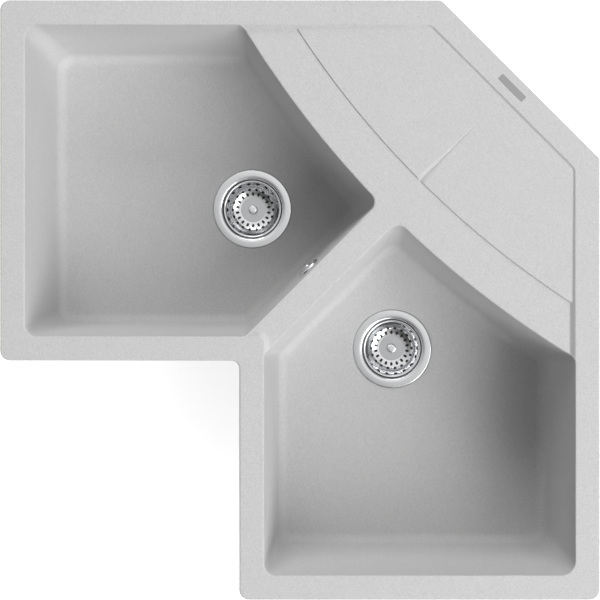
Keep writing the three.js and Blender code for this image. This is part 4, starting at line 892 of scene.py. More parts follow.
def upright(section, y):
    """A flat section of (x, z) points stood up at one y."""
    return np.column_stack([section[:, 0], np.full(len(section), y), section[:, 1]])


def lug():
    """A C section, extruded across: the block's outline with the slot in its outer face."""
    inner, outer = -LUG_INSET - LUG_LENGTH, -LUG_INSET
    slot_top, slot_low = -CLIP_TONGUE_DEPTH + GAP, -CLIP_TONGUE_DEPTH - CLIP_STEEL - GAP
    slot_in, root = outer - CLIP_TONGUE - GAP, DECK_UNDERSIDE + LUG_ROOT
    section = np.array([
        [outer, root], [inner, root], [inner, -LUG_DEPTH],
        [outer, -LUG_DEPTH], [outer, slot_low], [slot_in, slot_low], [slot_in, slot_top],
        [outer, slot_top]])
    count = len(section)
    ends = [upright(section, y) for y in (-LUG_WIDTH / 2, LUG_WIDTH / 2)]
    caps = np.array([[0, 1, 6, 7], [1, 2, 5, 6], [2, 3, 4, 5]])
    return np.concatenate(ends), [grid_faces(2, count, True), caps[:, ::-1], caps + count]


lugs = [at_clip(lug(), clip) for clip in CLIPS]
print("lugs:", len(lugs))

# %% [markdown]
# The right bowl is the left one seen in a mirror along the diagonal, so it takes the same grid with
# x and y changed over. Deck, bowls, rim and underside meet point on point and close into one shell,
# as the real moulding is one piece. The lugs are small shells of their own, set into the deck.

# %% Sink body
right_rows = bowl_rows[:, :, [1, 0, 2]]
right = (right_rows.reshape(-1, 3), [grid_faces(*bowl_rows.shape[:2], True)])
body_points, body_faces = joined([deck, *left_bowl(), right, rim, *underside(), *lugs])
sink_body = make_piece(
    "sink_moulding", body_points, body_faces, "sink", "composite", replaces=["sink_body"])
print("sink body:", len(sink_body.data.polygons), "faces")

# %% [markdown]
# ## Turned parts
#
# The wastes, gaskets, knobs and nuts are round. Each is a profile of (radius, height) points that
# is turned round its own axis and then put in place. Real edges are never quite sharp, so the
# corners of a profile are given small arcs first.

# %% Turning
STRAIGHT = 1.55  # half the angle between two sides, in radians, past which there is no corner
SHARE_OF_SIDE = 0.49  # the most of a side that the rounding at one of its ends may take


def rounded(corners, steps=5):
    """A line of (radius, height, rounding) with an arc of that radius at each inner corner. The arc
    starts its radius over the tangent of half the corner's angle away from the corner."""
    corners = np.array([(*c, 0.0) if len(c) == 2 else c for c in corners], float)
    line = [corners[0, :2]]
    for before, (x, y, radius), after in zip(corners[:-2, :2], corners[1:-1], corners[2:, :2]):
        here = np.array([x, y])
        u, v = before - here, after - here
        reach_u, reach_v = np.linalg.norm(u), np.linalg.norm(v)
        half = math.acos(np.clip(u @ v / (reach_u * reach_v), -1, 1)) / 2
        if radius == 0 or half > STRAIGHT:
            line.append(here)
            continue
        back = min(radius / math.tan(half), SHARE_OF_SIDE * reach_u, SHARE_OF_SIDE * reach_v)
        start, end = here + u / reach_u * back, here + v / reach_v * back
        towards = u / reach_u + v / reach_v
        centre = here + towards / np.linalg.norm(towards) * back / math.cos(half)
        line += list(arc_between(start, end, centre, steps))
    return np.array(line + [corners[-1, :2]])


def turned(profile, segments=96, wave=None):
    """The profile carried round the Z axis: a point of it at some radius goes to radius times the
    cosine and sine of the angle. What wave(angle, height, radius) gives is added to its radius."""
    profile = np.asarray(profile, float)
    angle = np.linspace(0, 2 * math.pi, segments, endpoint=False)
    radius = np.repeat(profile[:, :1], segments, 1)
    height = np.repeat(profile[:, 1:], segments, 1)
    if wave is not None:
        radius = np.maximum(radius + wave(angle[None, :], height, radius), 0)
    points = np.stack([radius * np.cos(angle), radius * np.sin(angle), height], -1)
    return points.reshape(-1, 3), [grid_faces(len(profile), segments, True)]


def ring_profile(inner, outer, bottom, top, round_by):
    """A closed section of a plain ring with rounded edges."""
    middle = (inner + outer) / 2
    return rounded([(middle, bottom), (outer, bottom, round_by), (outer, top, round_by),
                    (inner, top, round_by), (inner, bottom, round_by), (middle, bottom)], 3)


# %% [markdown]
# ## Pressed and pierced sheet
#
# The basket, the flange's dish and the rosette are thin sheet with holes punched through. A flat
# pattern of one sector, drawn as angle along and distance across, is cut up by the same
# triangulation as the deck, with the holes as its inner edges. Both faces of the sheet are then
# bent round the profile, and walls join them round each hole.

# %% Along a line
def lengths_along(line):
    """How far each point of a line is from its start: the running sum of the steps between."""
    return np.concatenate([[0], np.cumsum(np.linalg.norm(np.diff(line, axis=0), axis=1))])


def along_line(line, distance):
    """Point and normal of a line of points, at distances along it. The normal at a point is the
    mean of those beside it, each a step turned by a quarter."""
    step, at = np.diff(line, axis=0), lengths_along(line)
    length = np.linalg.norm(step, axis=1)
    normal = np.column_stack([step[:, 1], -step[:, 0]]) / length[:, None]
    vertex_normal = np.concatenate([normal[:1], normal[1:] + normal[:-1], normal[-1:]])
    vertex_normal /= np.linalg.norm(vertex_normal, axis=1, keepdims=True)
    point = np.column_stack([np.interp(distance, at, line[:, k]) for k in (0, 1)])
    away = np.column_stack([np.interp(distance, at, vertex_normal[:, k]) for k in (0, 1)])
    return point, away / np.linalg.norm(away, axis=1, keepdims=True)


# %% Pierced sheet
PATTERN_SCALE = 30.0  # mm of flat pattern for each radian, so that its triangles are well shaped
HOLE_MARGIN = 0.25
SIDES = (0, 0.5, 1)  # across a cut edge: the sheet's first face, its middle and its other face


def sheet(plan, triangles, bent):
    """Both faces of a bent sheet from its flat pattern."""
    return [(bent(plan, 0), [triangles]), (bent(plan, 1), [triangles[:, ::-1]])]


def cut_edge(flat, bent, closed, sides=SIDES):
    """The wall between the two faces along a line of the flat pattern."""
    rows = np.concatenate([bent(flat, side) for side in sides])
    return rows, [grid_faces(len(sides), len(flat), closed)]


def pierced(line, thickness, sectors, start_angle, holes, across=9):
    """Sheet turned from a line, with holes. A hole is (angle, distance, loop), where the loop is
    its outline in mm, x along the turn and y along the line. Both ends of the line are closed."""
    lengths = lengths_along(line)
    between = lengths[1:-1]
    sector = 2 * math.pi / sectors
    left, right = start_angle * PATTERN_SCALE, (start_angle + sector) * PATTERN_SCALE
    u = np.linspace(left, right, across)
    frame_loop = np.concatenate([
        np.column_stack([u, np.zeros(across)]),
        np.column_stack([np.full(len(between), right), between]),
        np.column_stack([u[::-1], np.full(across, lengths[-1])]),
        np.column_stack([np.full(len(between), left), between[::-1]])])
    cuts = []
    for angle, distance, loop in holes:
        radius = along_line(line, np.array([distance]))[0][0, 0]
        turned_by = angle * PATTERN_SCALE + loop[:, 0] * PATTERN_SCALE / radius
        cuts.append(np.column_stack([turned_by, distance + loop[:, 1]]))

    def bent(flat, side):
        point, normal = along_line(line, flat[:, 1])
        point = point + normal * thickness * side
        angle = flat[:, 0] / PATTERN_SCALE
        return np.column_stack([
            point[:, 0] * np.cos(angle), point[:, 0] * np.sin(angle), point[:, 1]])

    grid = np.stack(np.meshgrid(u[1:-1], between), -1).reshape(-1, 2)
    grid = grid[clear_of(grid, cuts, HOLE_MARGIN)]
    plan, triangles = triangulated([frame_loop, *cuts], [grid], lambda m: clear_of(m, cuts))
    parts = sheet(plan, triangles, bent)
    parts += [cut_edge(loop, bent, True, sides=(0, 1)) for loop in cuts]
    parts += [cut_edge(np.column_stack([u, np.full(across, v)]), bent, False)
              for v in (0, lengths[-1])]
    part = joined(parts)
    return joined([placed(part, turn_about_z(k * sector), 0) for k in range(sectors)])


def long_hole(length, width, steps=8):
    """Outline of a slot with round ends, its length along the line."""
    angle = np.linspace(0, math.pi, steps + 1)
    end = width / 2 * np.column_stack([np.cos(angle), np.sin(angle)]) + [0, (length - width) / 2]
    return np.concatenate([end, -end])


# %% [markdown]
# ## Basket strainer wastes
#
# Each bowl drains through a basket strainer: a polished steel flange with a deep dish, and in it a
# loose basket with a rubber stopper on its stem. The flange's rim is rolled over into the dish, so
# it catches the light as a bright ring.

# %% Waste sizes
FLANGE_RADIUS = 59
FLANGE_STEEL = 1
TOP_GASKET = 1
DISH_RADIUS = 44.6
DISH_DEPTH = 36
CLAMP_RADIUS = 4
CLAMP_HEAD_RADIUS = 7
CLAMP_HEAD_HEIGHT = 3
CLAMP_LENGTH = 17
DISH_FLOOR = FLANGE_STEEL - DISH_DEPTH
CLAMP_HEAD_TOP = DISH_FLOOR + CLAMP_HEAD_HEIGHT
BASKET_RADIUS = 43
BASKET_STEEL = 0.8
BASKET_TOP_DEPTH = 2.5
BASKET_DEPTH = 29
BASKET_DISC_RADIUS = 19
BASKET_SLOTS = 18
SLOT_RING = 24.4
SLOT_LENGTH = 5.8
SLOT_WIDTH = 3.6
HOLE_RING = 31.2
HOLE_RADIUS = 2.3
STEM_RADIUS = 2
STEM_REACH = 10  # how far the pin goes down into the clamp screw
DISC_TOP = BASKET_STEEL - BASKET_DEPTH
STEM_FOOT = CLAMP_HEAD_TOP - STEM_REACH
KNOB_RADIUS = 6.5
KNOB_WAIST = 3.7
KNOB_HEIGHT = 16
KNOB_TOP = DISC_TOP + KNOB_HEIGHT
WASHER_RADIUS = 9
WASHER_STEEL = 0.8
FLANGE_HOLES = 6
DRAIN_RING = 14
DRAIN_RADIUS = 3.7
UNDER_SEAT = SEAT_REBATE - WALL
UNDER_GASKET = 2.5
BODY_TOP = UNDER_SEAT - UNDER_GASKET
WASTES = {
    "left": np.array([WASTE_CENTRE[0], WASTE_CENTRE[1], WASTE_SEAT]),
    "right": np.array([WASTE_CENTRE[1], WASTE_CENTRE[0], WASTE_SEAT]),
}
LEVEL = np.eye(3)
print("waste seats, mm:", *[place.round(1) for place in WASTES.values()])

# %% [markdown]
# The flange and the basket are drawn from sheet by a press and then pierced. They could be solids
# with cylinders cut out of them, but a line with a thickness and a pattern of holes keeps the sheet
# as even as the press does, and leaves a clean edge round every hole.

# %% Flange and basket
FLANGE_LINE = rounded([
    (FLANGE_RADIUS - FLANGE_STEEL, 0.15),
    (FLANGE_RADIUS - FLANGE_STEEL - 0.1, TOP_GASKET, 0.4),
    (50, TOP_GASKET + 0.05, 6),
    (DISH_RADIUS + 1.4, TOP_GASKET - 0.5, 2.5),
    (DISH_RADIUS - 0.1, -5, 4),
    (DISH_RADIUS - 1, -DISH_DEPTH + 9, 6),
    (DISH_RADIUS - 4.5, -DISH_DEPTH, 6),
    (CLAMP_RADIUS + 0.4, -DISH_DEPTH),
], 7)
BASKET_LINE = rounded([
    (BASKET_RADIUS, -BASKET_TOP_DEPTH - BASKET_STEEL),
    (BASKET_RADIUS - 2.2, -BASKET_TOP_DEPTH - BASKET_STEEL, 1.2),
    (BASKET_RADIUS - 2.6, -BASKET_TOP_DEPTH - 6, 3),
    (BASKET_RADIUS - 5.2, -BASKET_DEPTH + 10, 8),
    (BASKET_DISC_RADIUS + 13, -BASKET_DEPTH + 3.4, 9),
    (BASKET_DISC_RADIUS + 4.5, -BASKET_DEPTH + 0.6, 5),
    (BASKET_DISC_RADIUS, -BASKET_DEPTH, 2),
    (STEM_RADIUS + GAP, -BASKET_DEPTH),
], 6)


def distance_at_radius(line, radius):
    """How far along a line that runs inwards its radius is met."""
    return float(np.interp(-radius, -line[:, 0], lengths_along(line)))


def flange():
    """The pressed flange, with six drain holes in the floor of its dish."""
    hole = (0.0, distance_at_radius(FLANGE_LINE, DRAIN_RING), disc(DRAIN_RADIUS))
    turn = math.pi / FLANGE_HOLES
    return pierced(FLANGE_LINE, FLANGE_STEEL, FLANGE_HOLES, -turn, [hole], across=17)


def basket():
    """The basket, with a ring of slots and a ring of holes between them."""
    turn = math.pi / BASKET_SLOTS
    slot = (turn, distance_at_radius(BASKET_LINE, SLOT_RING), long_hole(SLOT_LENGTH, SLOT_WIDTH))
    hole = (0.0, distance_at_radius(BASKET_LINE, HOLE_RING), disc(HOLE_RADIUS))
    return pierced(BASKET_LINE, BASKET_STEEL, BASKET_SLOTS, -turn / 2, [slot, hole])


# %% [markdown]
# The knob sits on a pin that goes down through the basket, the washer and the stopper, and slides
# in the hollow head of the screw that clamps the waste together. All of them are turned, so a
# profile with small roundings is all that each one needs.

# %% Knob, pin and screw
def knob():
    """A pull knob, waisted so that fingers can lift the basket by it."""
    return turned(rounded([
        (0, KNOB_TOP - 3), (STEM_RADIUS + GAP, KNOB_TOP - 3), (STEM_RADIUS + GAP, DISC_TOP),
        (KNOB_WAIST + 1.5, DISC_TOP, 0.3), (KNOB_WAIST, DISC_TOP + 3, 4),
        (KNOB_WAIST, KNOB_TOP - 5, 3), (KNOB_RADIUS, KNOB_TOP - 3.6, 0.8),
        (KNOB_RADIUS, KNOB_TOP - 0.2, 2.2), (3, KNOB_TOP, 6), (0, KNOB_TOP)], 6), 64)


def stem():
    """The pin that joins knob, basket and stopper."""
    return turned(rounded([
        (0, STEM_FOOT), (STEM_RADIUS, STEM_FOOT, 0.5),
        (STEM_RADIUS, KNOB_TOP - 3.3, 0.2), (0, KNOB_TOP - 3.3)]), 32)


def clamp_screw():
    """A hollow screw with a low round head."""
    foot, hollow = DISH_FLOOR - CLAMP_LENGTH, STEM_FOOT - GAP
    return turned(rounded([
        (0, foot), (CLAMP_RADIUS, foot, 0.6), (CLAMP_RADIUS, DISH_FLOOR),
        (CLAMP_HEAD_RADIUS, DISH_FLOOR, 0.2), (CLAMP_HEAD_RADIUS, CLAMP_HEAD_TOP, 1),
        (STEM_RADIUS + GAP, CLAMP_HEAD_TOP, 0.2), (STEM_RADIUS + GAP, hollow), (0, hollow)]), 48)


# %% [markdown]
# Rubber seals the waste in three places: a thin ring between flange and bowl, a thick one between
# bowl and cup, and the lip of the stopper on the dish. Rubber is moulded, so its edges are round.

# %% Washer, stopper and seals
STOPPER_RADIUS = 20.5
STOPPER_HUB = 9
TOP_GASKET_INNER = 51.5
TOP_GASKET_OUTER = 56.5
UNDER_GASKET_OUTER = 57.5


def washer():
    """A flat washer under the basket's middle."""
    foot = -BASKET_DEPTH - WASHER_STEEL
    return turned(ring_profile(STEM_RADIUS + GAP, WASHER_RADIUS, foot, -BASKET_DEPTH, 0.15), 48)


def stopper():
    """A rubber cup with a soft lip that seals on the dish."""
    top, foot, web = -BASKET_DEPTH - WASHER_STEEL, DISH_FLOOR + GAP, DISH_FLOOR + GAP + 1.5
    hub_foot, bore = CLAMP_HEAD_TOP + GAP, STEM_RADIUS + GAP
    return turned(rounded([
        (STOPPER_HUB - 1, hub_foot), (STOPPER_HUB, hub_foot, 0.3), (STOPPER_HUB, web, 0.5),
        (18.3, web, 0.5), (18.9, foot, 0.4), (STOPPER_RADIUS, foot, 0.4),
        (STOPPER_RADIUS, top, 0.9), (bore, top, 0.2), (bore, hub_foot, 0.2),
        (STOPPER_HUB - 1, hub_foot)], 4), 72)


def top_gasket():
    """A thin rubber ring under the flange."""
    return turned(ring_profile(TOP_GASKET_INNER, TOP_GASKET_OUTER, 0, TOP_GASKET, 0.3), 96)


def under_gasket():
    """A thick rubber ring under the bowl."""
    inner = WASTE_HOLE_RADIUS + 2
    return turned(ring_profile(inner, UNDER_GASKET_OUTER, BODY_TOP, UNDER_SEAT, 0.7), 96)


# %% [markdown]
# The two wastes are alike, so one table of pieces is worked through for each of them. What is fixed
# rides on the sink, and what comes out with the knob rides on the strainer.

# %% Both wastes
for side, place in WASTES.items():
    strainer = side + "_strainer"
    for name, shape, body, slot, node in (
            ("pressed_flange", flange, "sink", "polished_steel", "waste_flange"),
            ("flange_seal", top_gasket, "sink", "black_rubber", "flange_gasket"),
            ("bowl_seal", under_gasket, "sink", "black_rubber", "under_gasket"),
            ("hollow_screw", clamp_screw, "sink", "polished_steel", "clamp_screw"),
            ("basket", basket, strainer, "polished_steel", "strainer_basket"),
            ("pull_knob", knob, strainer, "chrome", "strainer_knob"),
            ("pin", stem, strainer, "polished_steel", "strainer_stem"),
            ("flat_washer", washer, strainer, "polished_steel", "strainer_washer"),
            ("stopper", stopper, strainer, "black_rubber", "strainer_stopper")):
        points, faces = placed(shape(), LEVEL, place)
        piece = make_piece(f"{name}_{side}", points, faces, body, slot,
                           replaces=[f"{node}_{side}"], axis=(place, UP))
        print(piece.name, len(piece.data.polygons), "faces")

# %% [markdown]
# ## Waste bodies and threads
#
# Under each bowl hangs a moulded plastic cup with a threaded spigot for the trap. A thread is a
# groove that climbs one pitch for each turn, so on a turned part it is only a change of radius that
# depends on the height less the share of the turn. No cutting is needed, and the thread runs out
# softly at both ends, as moulded threads do.

# %% Threads and grips
THREAD_POWER = 1.5  # leaves a thread's crests broader than its roots
SAME_RADIUS = 0.01  # how near the outside a point lies for a thread to cut it
FLUTE_FADE = 1.5  # the length over which a flute runs out
FLUTE_SKIN = 0.3  # how near the outside a point lies for a flute to dip it


def close_rows(corners, spacing):
    """The line through corners with extra points, so that no step is longer than the spacing."""
    corners = np.asarray(corners, float)
    line = [corners[:1]]
    for start, end in zip(corners[:-1], corners[1:]):
        count = max(1, math.ceil(np.linalg.norm(end - start) / spacing))
        line.append(start + (end - start) * np.linspace(0, 1, count + 1)[1:, None])
    return np.concatenate(line)


def thread(low, high, pitch, depth, outside):
    """A V groove on the outside between two heights: deepest where height / pitch less the share
    of the turn is a whole number, and fading over one pitch at both ends."""
    def wave(angle, height, radius):
        phase = np.abs(2 * ((height / pitch - angle / (2 * math.pi)) % 1) - 1)
        fade = np.clip((height - low) / pitch, 0, 1) * np.clip((high - height) / pitch, 0, 1)
        cut = np.abs(radius - outside) < SAME_RADIUS
        return np.where(cut, -depth * fade * phase ** THREAD_POWER, 0)
    return wave


def grip(count, low, high, depth, outside):
    """Flutes along a nut for the fingers: the radius dips count times round the turn, by the
    square of a cosine's positive half, and fades out at both ends."""
    def wave(angle, height, radius):
        flute = np.maximum(np.cos(count * angle), 0) ** 2
        fade = (np.clip((height - low) / FLUTE_FADE, 0, 1)
                * np.clip((high - height) / FLUTE_FADE, 0, 1))
        return np.where(radius > outside - FLUTE_SKIN, -depth * fade * flute, 0)
    return wave


# %% Sizes under the bowls
BODY_FLANGE_RADIUS = 58
BODY_FLANGE = 3.7
CUP_RADIUS = 50
CUP_WALL = 3.2
CUP_DEPTH = 54
CUP_FOOT = -CUP_DEPTH - CUP_WALL
CONE_DROP = 6
OUTLET_RADIUS = 23.9
OUTLET_BORE = 19.5
OUTLET_DEPTH = 92
PIPE_THREAD_PITCH = 2.31
PIPE_THREAD_DEPTH = 1.2
THREAD_SPACING = 0.33  # of the rows along a thread
BOSS_RADIUS = 9
BOSS_DEPTH = 38
BOSS_HEIGHT = 18
WEB_HALF = 2
WEB_HEIGHT = 8
PORT_DEPTH = 45
HOSE_RADIUS = 9
HOSE_BORE = 6
SOCKET_BORE = HOSE_RADIUS + GAP
SOCKET_RADIUS = SOCKET_BORE + 2.7
SOCKET_STOP = 52
SOCKET_END = 64
NUT_WALL = 3
NUT_BACK = 10.5  # how far a nut reaches back from its lip, over the socket
NUT_LIP = 2.5
NUT_FLUTES = 20
FLUTE_DEPTH = 0.7
PORT_AXES = np.array([[0, 0, -1], [0, 1, 0], [1, 0, 0]])  # a part's own Z laid along +X

# %% [markdown]
# The cup is one turned wall, with inside, outside and thread in one closed profile. The boss, its
# webs and the socket for the hose are moulded on: small closed shells that run into the wall of
# the cup and belong to the same piece.

# %% Waste bodies
def cup():
    """The cup, its seal flange and its threaded spigot, as one turned wall."""
    inside = CUP_RADIUS - CUP_WALL
    corners = rounded([
        (inside, BODY_TOP), (BODY_FLANGE_RADIUS, BODY_TOP, 0.6),
        (BODY_FLANGE_RADIUS, BODY_TOP - BODY_FLANGE, 0.8),
        (CUP_RADIUS, BODY_TOP - BODY_FLANGE, 1.5), (CUP_RADIUS, -CUP_DEPTH, 4),
        (CUP_RADIUS - CONE_DROP, CUP_FOOT, 3), (OUTLET_RADIUS, CUP_FOOT - CONE_DROP, 3),
        (OUTLET_RADIUS, -OUTLET_DEPTH, 0.7), (OUTLET_BORE, -OUTLET_DEPTH, 0.5),
        (OUTLET_BORE, -CUP_DEPTH - CONE_DROP, 2), (inside - CONE_DROP, -CUP_DEPTH, 3),
        (inside, -CUP_DEPTH + CUP_WALL, 2), (inside, BODY_TOP)])
    low, high = -OUTLET_DEPTH + 1, CUP_FOOT - CONE_DROP - 5
    wave = thread(low, high, PIPE_THREAD_PITCH, PIPE_THREAD_DEPTH, OUTLET_RADIUS)
    return turned(close_rows(corners, THREAD_SPACING), 72, wave)


def boss():
    """The boss inside the cup that the clamp screw goes into."""
    foot, bore = -BOSS_DEPTH - BOSS_HEIGHT, CLAMP_RADIUS + GAP
    hollow = DISH_FLOOR - CLAMP_LENGTH - GAP
    return turned(rounded([(0, foot), (BOSS_RADIUS, foot, 1), (BOSS_RADIUS, -BOSS_DEPTH, 0.6),
                           (bore, -BOSS_DEPTH, 0.4), (bore, hollow), (0, hollow)]), 32)


def webs():
    """Three webs that hold the boss to the cup's wall: a flat bar, turned round the axis. Each of
    its two sides is closed by a row of points that all lie in its middle."""
    foot, reach = -BOSS_DEPTH - BOSS_HEIGHT, CUP_RADIUS - CUP_WALL / 2
    bar = rounded([(BOSS_RADIUS / 2, foot), (BOSS_RADIUS / 2, foot + WEB_HEIGHT),
                   (reach, foot + WEB_HEIGHT, 1), (reach, foot, 1), (BOSS_RADIUS / 2, foot)], 3)
    middle = 0 * bar + bar.mean(0)
    rows = np.concatenate([upright(middle, -WEB_HALF), upright(bar, -WEB_HALF),
                           upright(bar, WEB_HALF), upright(middle, WEB_HALF)])
    web = (rows, [grid_faces(4, len(bar), False)])
    return [placed(web, turn_about_z(math.pi / 3 + k * 2 * math.pi / 3), 0) for k in range(3)]


def socket(start, stop, end, passage):
    """A tube that takes the hose: wide from its end to the stop, and a narrow passage behind."""
    return turned(rounded([
        (passage, start), (SOCKET_RADIUS, start, 1), (SOCKET_RADIUS, end, 0.6),
        (SOCKET_BORE, end, 0.5), (SOCKET_BORE, stop), (HOSE_BORE, stop, 0.3),
        (HOSE_BORE, start + 1), (passage, start)], 3), 48)


def hose_nut(end, closed=False):
    """A nut with a lip over the end of a socket. Closed right across, it is a blanking cap."""
    inside, lip = SOCKET_RADIUS + GAP, end + GAP
    outside, low, high = inside + NUT_WALL, lip - NUT_BACK, lip + NUT_LIP
    wall = [(inside, low), (outside, low, 0.6), (outside, high, 1.2)]
    if closed:
        corners = [(0, lip), (inside, lip), *wall,
                   (7, high, 0.5), (6.4, high - 0.6, 0.4), (0, high - 0.6)]
    else:
        corners = [*wall, (SOCKET_BORE, high, 0.5), (SOCKET_BORE, lip), (inside, lip), wall[0]]
    flutes = grip(NUT_FLUTES, low + 1, high - 1.5, FLUTE_DEPTH, outside)
    return turned(close_rows(rounded(corners), 1), 120, flutes)


# %% [markdown]
# ## Overflow
#
# High water leaves the left bowl through a chromed rosette in the wall between the bowls. Behind
# the wall a plastic body catches it, and a ribbed hose takes it down to the waste. The hose hangs
# straight down from its socket, turns in one bend, and runs level into the waste body.

# %% Overflow sizes
ROSETTE_RADIUS = 17.5
ROSETTE_RISE = 4.5
ROSETTE_WALL = 1.2
ROSETTE_HOLES = 6
ROSETTE_RING = 9.5
ROSETTE_HOLE = 2.6
SCREW_RADIUS = 2.5
SCREW_HEAD = 4.8
SCREW_PITCH = 0.8
SCREW_THREAD_DEPTH = 0.35
SCREW_SPACING = 0.4  # of the rows along a screw's thread
OVERFLOW_GASKET = 1.5
GASKET_FACE = -WALL - GAP
OVERFLOW_FRONT = GASKET_FACE - OVERFLOW_GASKET - GAP
OVERFLOW_DEPTH = 22
OVERFLOW_BACK = OVERFLOW_FRONT - OVERFLOW_DEPTH
OVERFLOW_RADIUS = 18.5
CHAMBER_WALL = 2.5
SCREW_BOSS_RADIUS = 5.5
SCREW_BOSS_HEIGHT = 16.5
HOSE_SETBACK = 24
SOCKET_DROP = 43
SOCKET_DEPTH = 12
SOCKET_START = 5.5
OVERFLOW_AXES = np.array([WALL_ACROSS, WALL_UP, WALL_NORMAL])
DOWN_AXES = np.array([WALL_ACROSS, WALL_NORMAL, -WALL_UP])  # a part's own Z laid down the wall
SOCKET_ORIGIN = OVERFLOW_CENTRE - WALL_NORMAL * HOSE_SETBACK
ROSETTE_LINE = rounded([
    (ROSETTE_RADIUS, GAP), (ROSETTE_RADIUS - 0.2, 2.2, 1.6),
    (ROSETTE_RADIUS - 4.5, ROSETTE_RISE, 7), (SCREW_RADIUS + GAP, ROSETTE_RISE)], 8)
print("overflow centre, mm:", OVERFLOW_CENTRE.round(1))

# %% [markdown]
# The rosette is a domed plate with six holes and a screw in its middle, which pulls the plastic
# cup up to the back of the wall. The plate is worked out like the basket, from a line and a pattern
# of holes, and the rest is turned.

# %% Overflow pieces
def rosette():
    """The domed rosette, with a ring of holes."""
    hole = (0.0, distance_at_radius(ROSETTE_LINE, ROSETTE_RING), disc(ROSETTE_HOLE))
    turn = math.pi / ROSETTE_HOLES
    return pierced(ROSETTE_LINE, -ROSETTE_WALL, ROSETTE_HOLES, -turn, [hole], across=17)


def rosette_screw():
    """A low domed head with a round recess, on a threaded shank."""
    back, head = OVERFLOW_BACK + 2.8, ROSETTE_RISE + GAP
    corners = rounded([
        (0, back), (SCREW_RADIUS, back, 0.4), (SCREW_RADIUS, head), (SCREW_HEAD, head, 0.2),
        (SCREW_HEAD - 0.7, head + 1.3, 0.8), (1.6, head + 1.6, 0.4), (1.3, head + 0.7, 0.2),
        (0, head + 0.7)])
    wave = thread(back, 0, SCREW_PITCH, SCREW_THREAD_DEPTH, SCREW_RADIUS)
    return turned(close_rows(corners, SCREW_SPACING), 32, wave)


def overflow_seal():
    """The flat rubber ring behind the wall."""
    return turned(ring_profile(OVERFLOW_HOLE + 1, OVERFLOW_RADIUS, GASKET_FACE - OVERFLOW_GASKET,
                               GASKET_FACE, 0.4), 64)


def overflow_chamber():
    """A round cup that opens to the wall, with the screw's boss standing in it."""
    inside, floor_at = OVERFLOW_RADIUS - CHAMBER_WALL, OVERFLOW_BACK + CHAMBER_WALL
    bore, top = SCREW_RADIUS + GAP, OVERFLOW_BACK + SCREW_BOSS_HEIGHT
    return turned(rounded([
        (0, OVERFLOW_BACK), (OVERFLOW_RADIUS, OVERFLOW_BACK, 2.5),
        (OVERFLOW_RADIUS, OVERFLOW_FRONT, 0.6), (inside, OVERFLOW_FRONT, 0.4),
        (inside, floor_at, 1.5), (SCREW_BOSS_RADIUS, floor_at, 1), (SCREW_BOSS_RADIUS, top, 0.5),
        (bore, top, 0.3), (bore, floor_at + 0.2), (0, floor_at + 0.2)]), 64)


# %% [markdown]
# The hose is held at both ends, so its route follows from what it joins: straight down out of the
# upper socket, one bend, and level into the lower one. How far the bend's ends are from the point
# where both straight lines would meet gives its radius: that way over the tangent of half the turn.

# %% Route of the hose
RIB_PITCH = 4.2
RIB_DEPTH = 1.6
RIB_POWER = 1.5  # leaves the ribs broader than the dips between them
ROWS_PER_RIB = 8
WASTE_LEVEL = WASTE_SEAT - PORT_DEPTH
HOSE_START = SOCKET_ORIGIN - WALL_UP * (SOCKET_DROP - SOCKET_DEPTH)
HOSE_DOWN = -WALL_UP
HOSE_CORNER = HOSE_START + HOSE_DOWN * (WASTE_LEVEL - HOSE_START[2]) / HOSE_DOWN[2]
HOSE_TARGET = np.array([*WASTE_CENTRE, WASTE_LEVEL])
HOSE_ALONG = (HOSE_TARGET - HOSE_CORNER) / np.linalg.norm(HOSE_TARGET - HOSE_CORNER)
HOSE_END = HOSE_TARGET - HOSE_ALONG * SOCKET_STOP
HOSE_TURN = math.acos(HOSE_DOWN @ HOSE_ALONG)
SETBACK = np.linalg.norm(HOSE_CORNER - HOSE_END) - 2 * HOSE_RADIUS
BEND_RADIUS = SETBACK / math.tan(HOSE_TURN / 2)
FIRST_LENGTH = np.linalg.norm(HOSE_START - HOSE_CORNER) - SETBACK
HOSE_LENGTH = FIRST_LENGTH + BEND_RADIUS * HOSE_TURN + 2 * HOSE_RADIUS
INWARD = HOSE_ALONG - (HOSE_ALONG @ HOSE_DOWN) * HOSE_DOWN
INWARD /= np.linalg.norm(INWARD)
BEND_CENTRE = HOSE_START + HOSE_DOWN * FIRST_LENGTH + INWARD * BEND_RADIUS
ACROSS = np.cross(HOSE_DOWN, INWARD)
HOSE_RIBS = round(HOSE_LENGTH / RIB_PITCH)
print(f"hose: {HOSE_LENGTH:.1f} mm long, bend radius {BEND_RADIUS:.1f} mm, {HOSE_RIBS} ribs")


# %% Ribbed hose
def hose_rows(distance, radius, sides=40):
    """Rings of points round the hose. The angle turned through is the distance past the first
    straight stretch over the bend's radius, held between nothing and the whole turn, and what is
    left of the distance runs on straight."""
    angle = np.clip((distance - FIRST_LENGTH) / BEND_RADIUS, 0, HOSE_TURN)[:, None]
    straight = distance[:, None] - FIRST_LENGTH - BEND_RADIUS * angle
    way = HOSE_DOWN * np.cos(angle) + INWARD * np.sin(angle)
    out = HOSE_DOWN * np.sin(angle) - INWARD * np.cos(angle)
    middle = BEND_CENTRE + out * BEND_RADIUS + way * straight
    other = np.cross(way, ACROSS)
    around = np.linspace(0, 2 * math.pi, sides, endpoint=False)
    ring = ACROSS * np.cos(around)[None, :, None] + other[:, None] * np.sin(around)[None, :, None]
    return middle[:, None] + ring * radius[:, None, None]


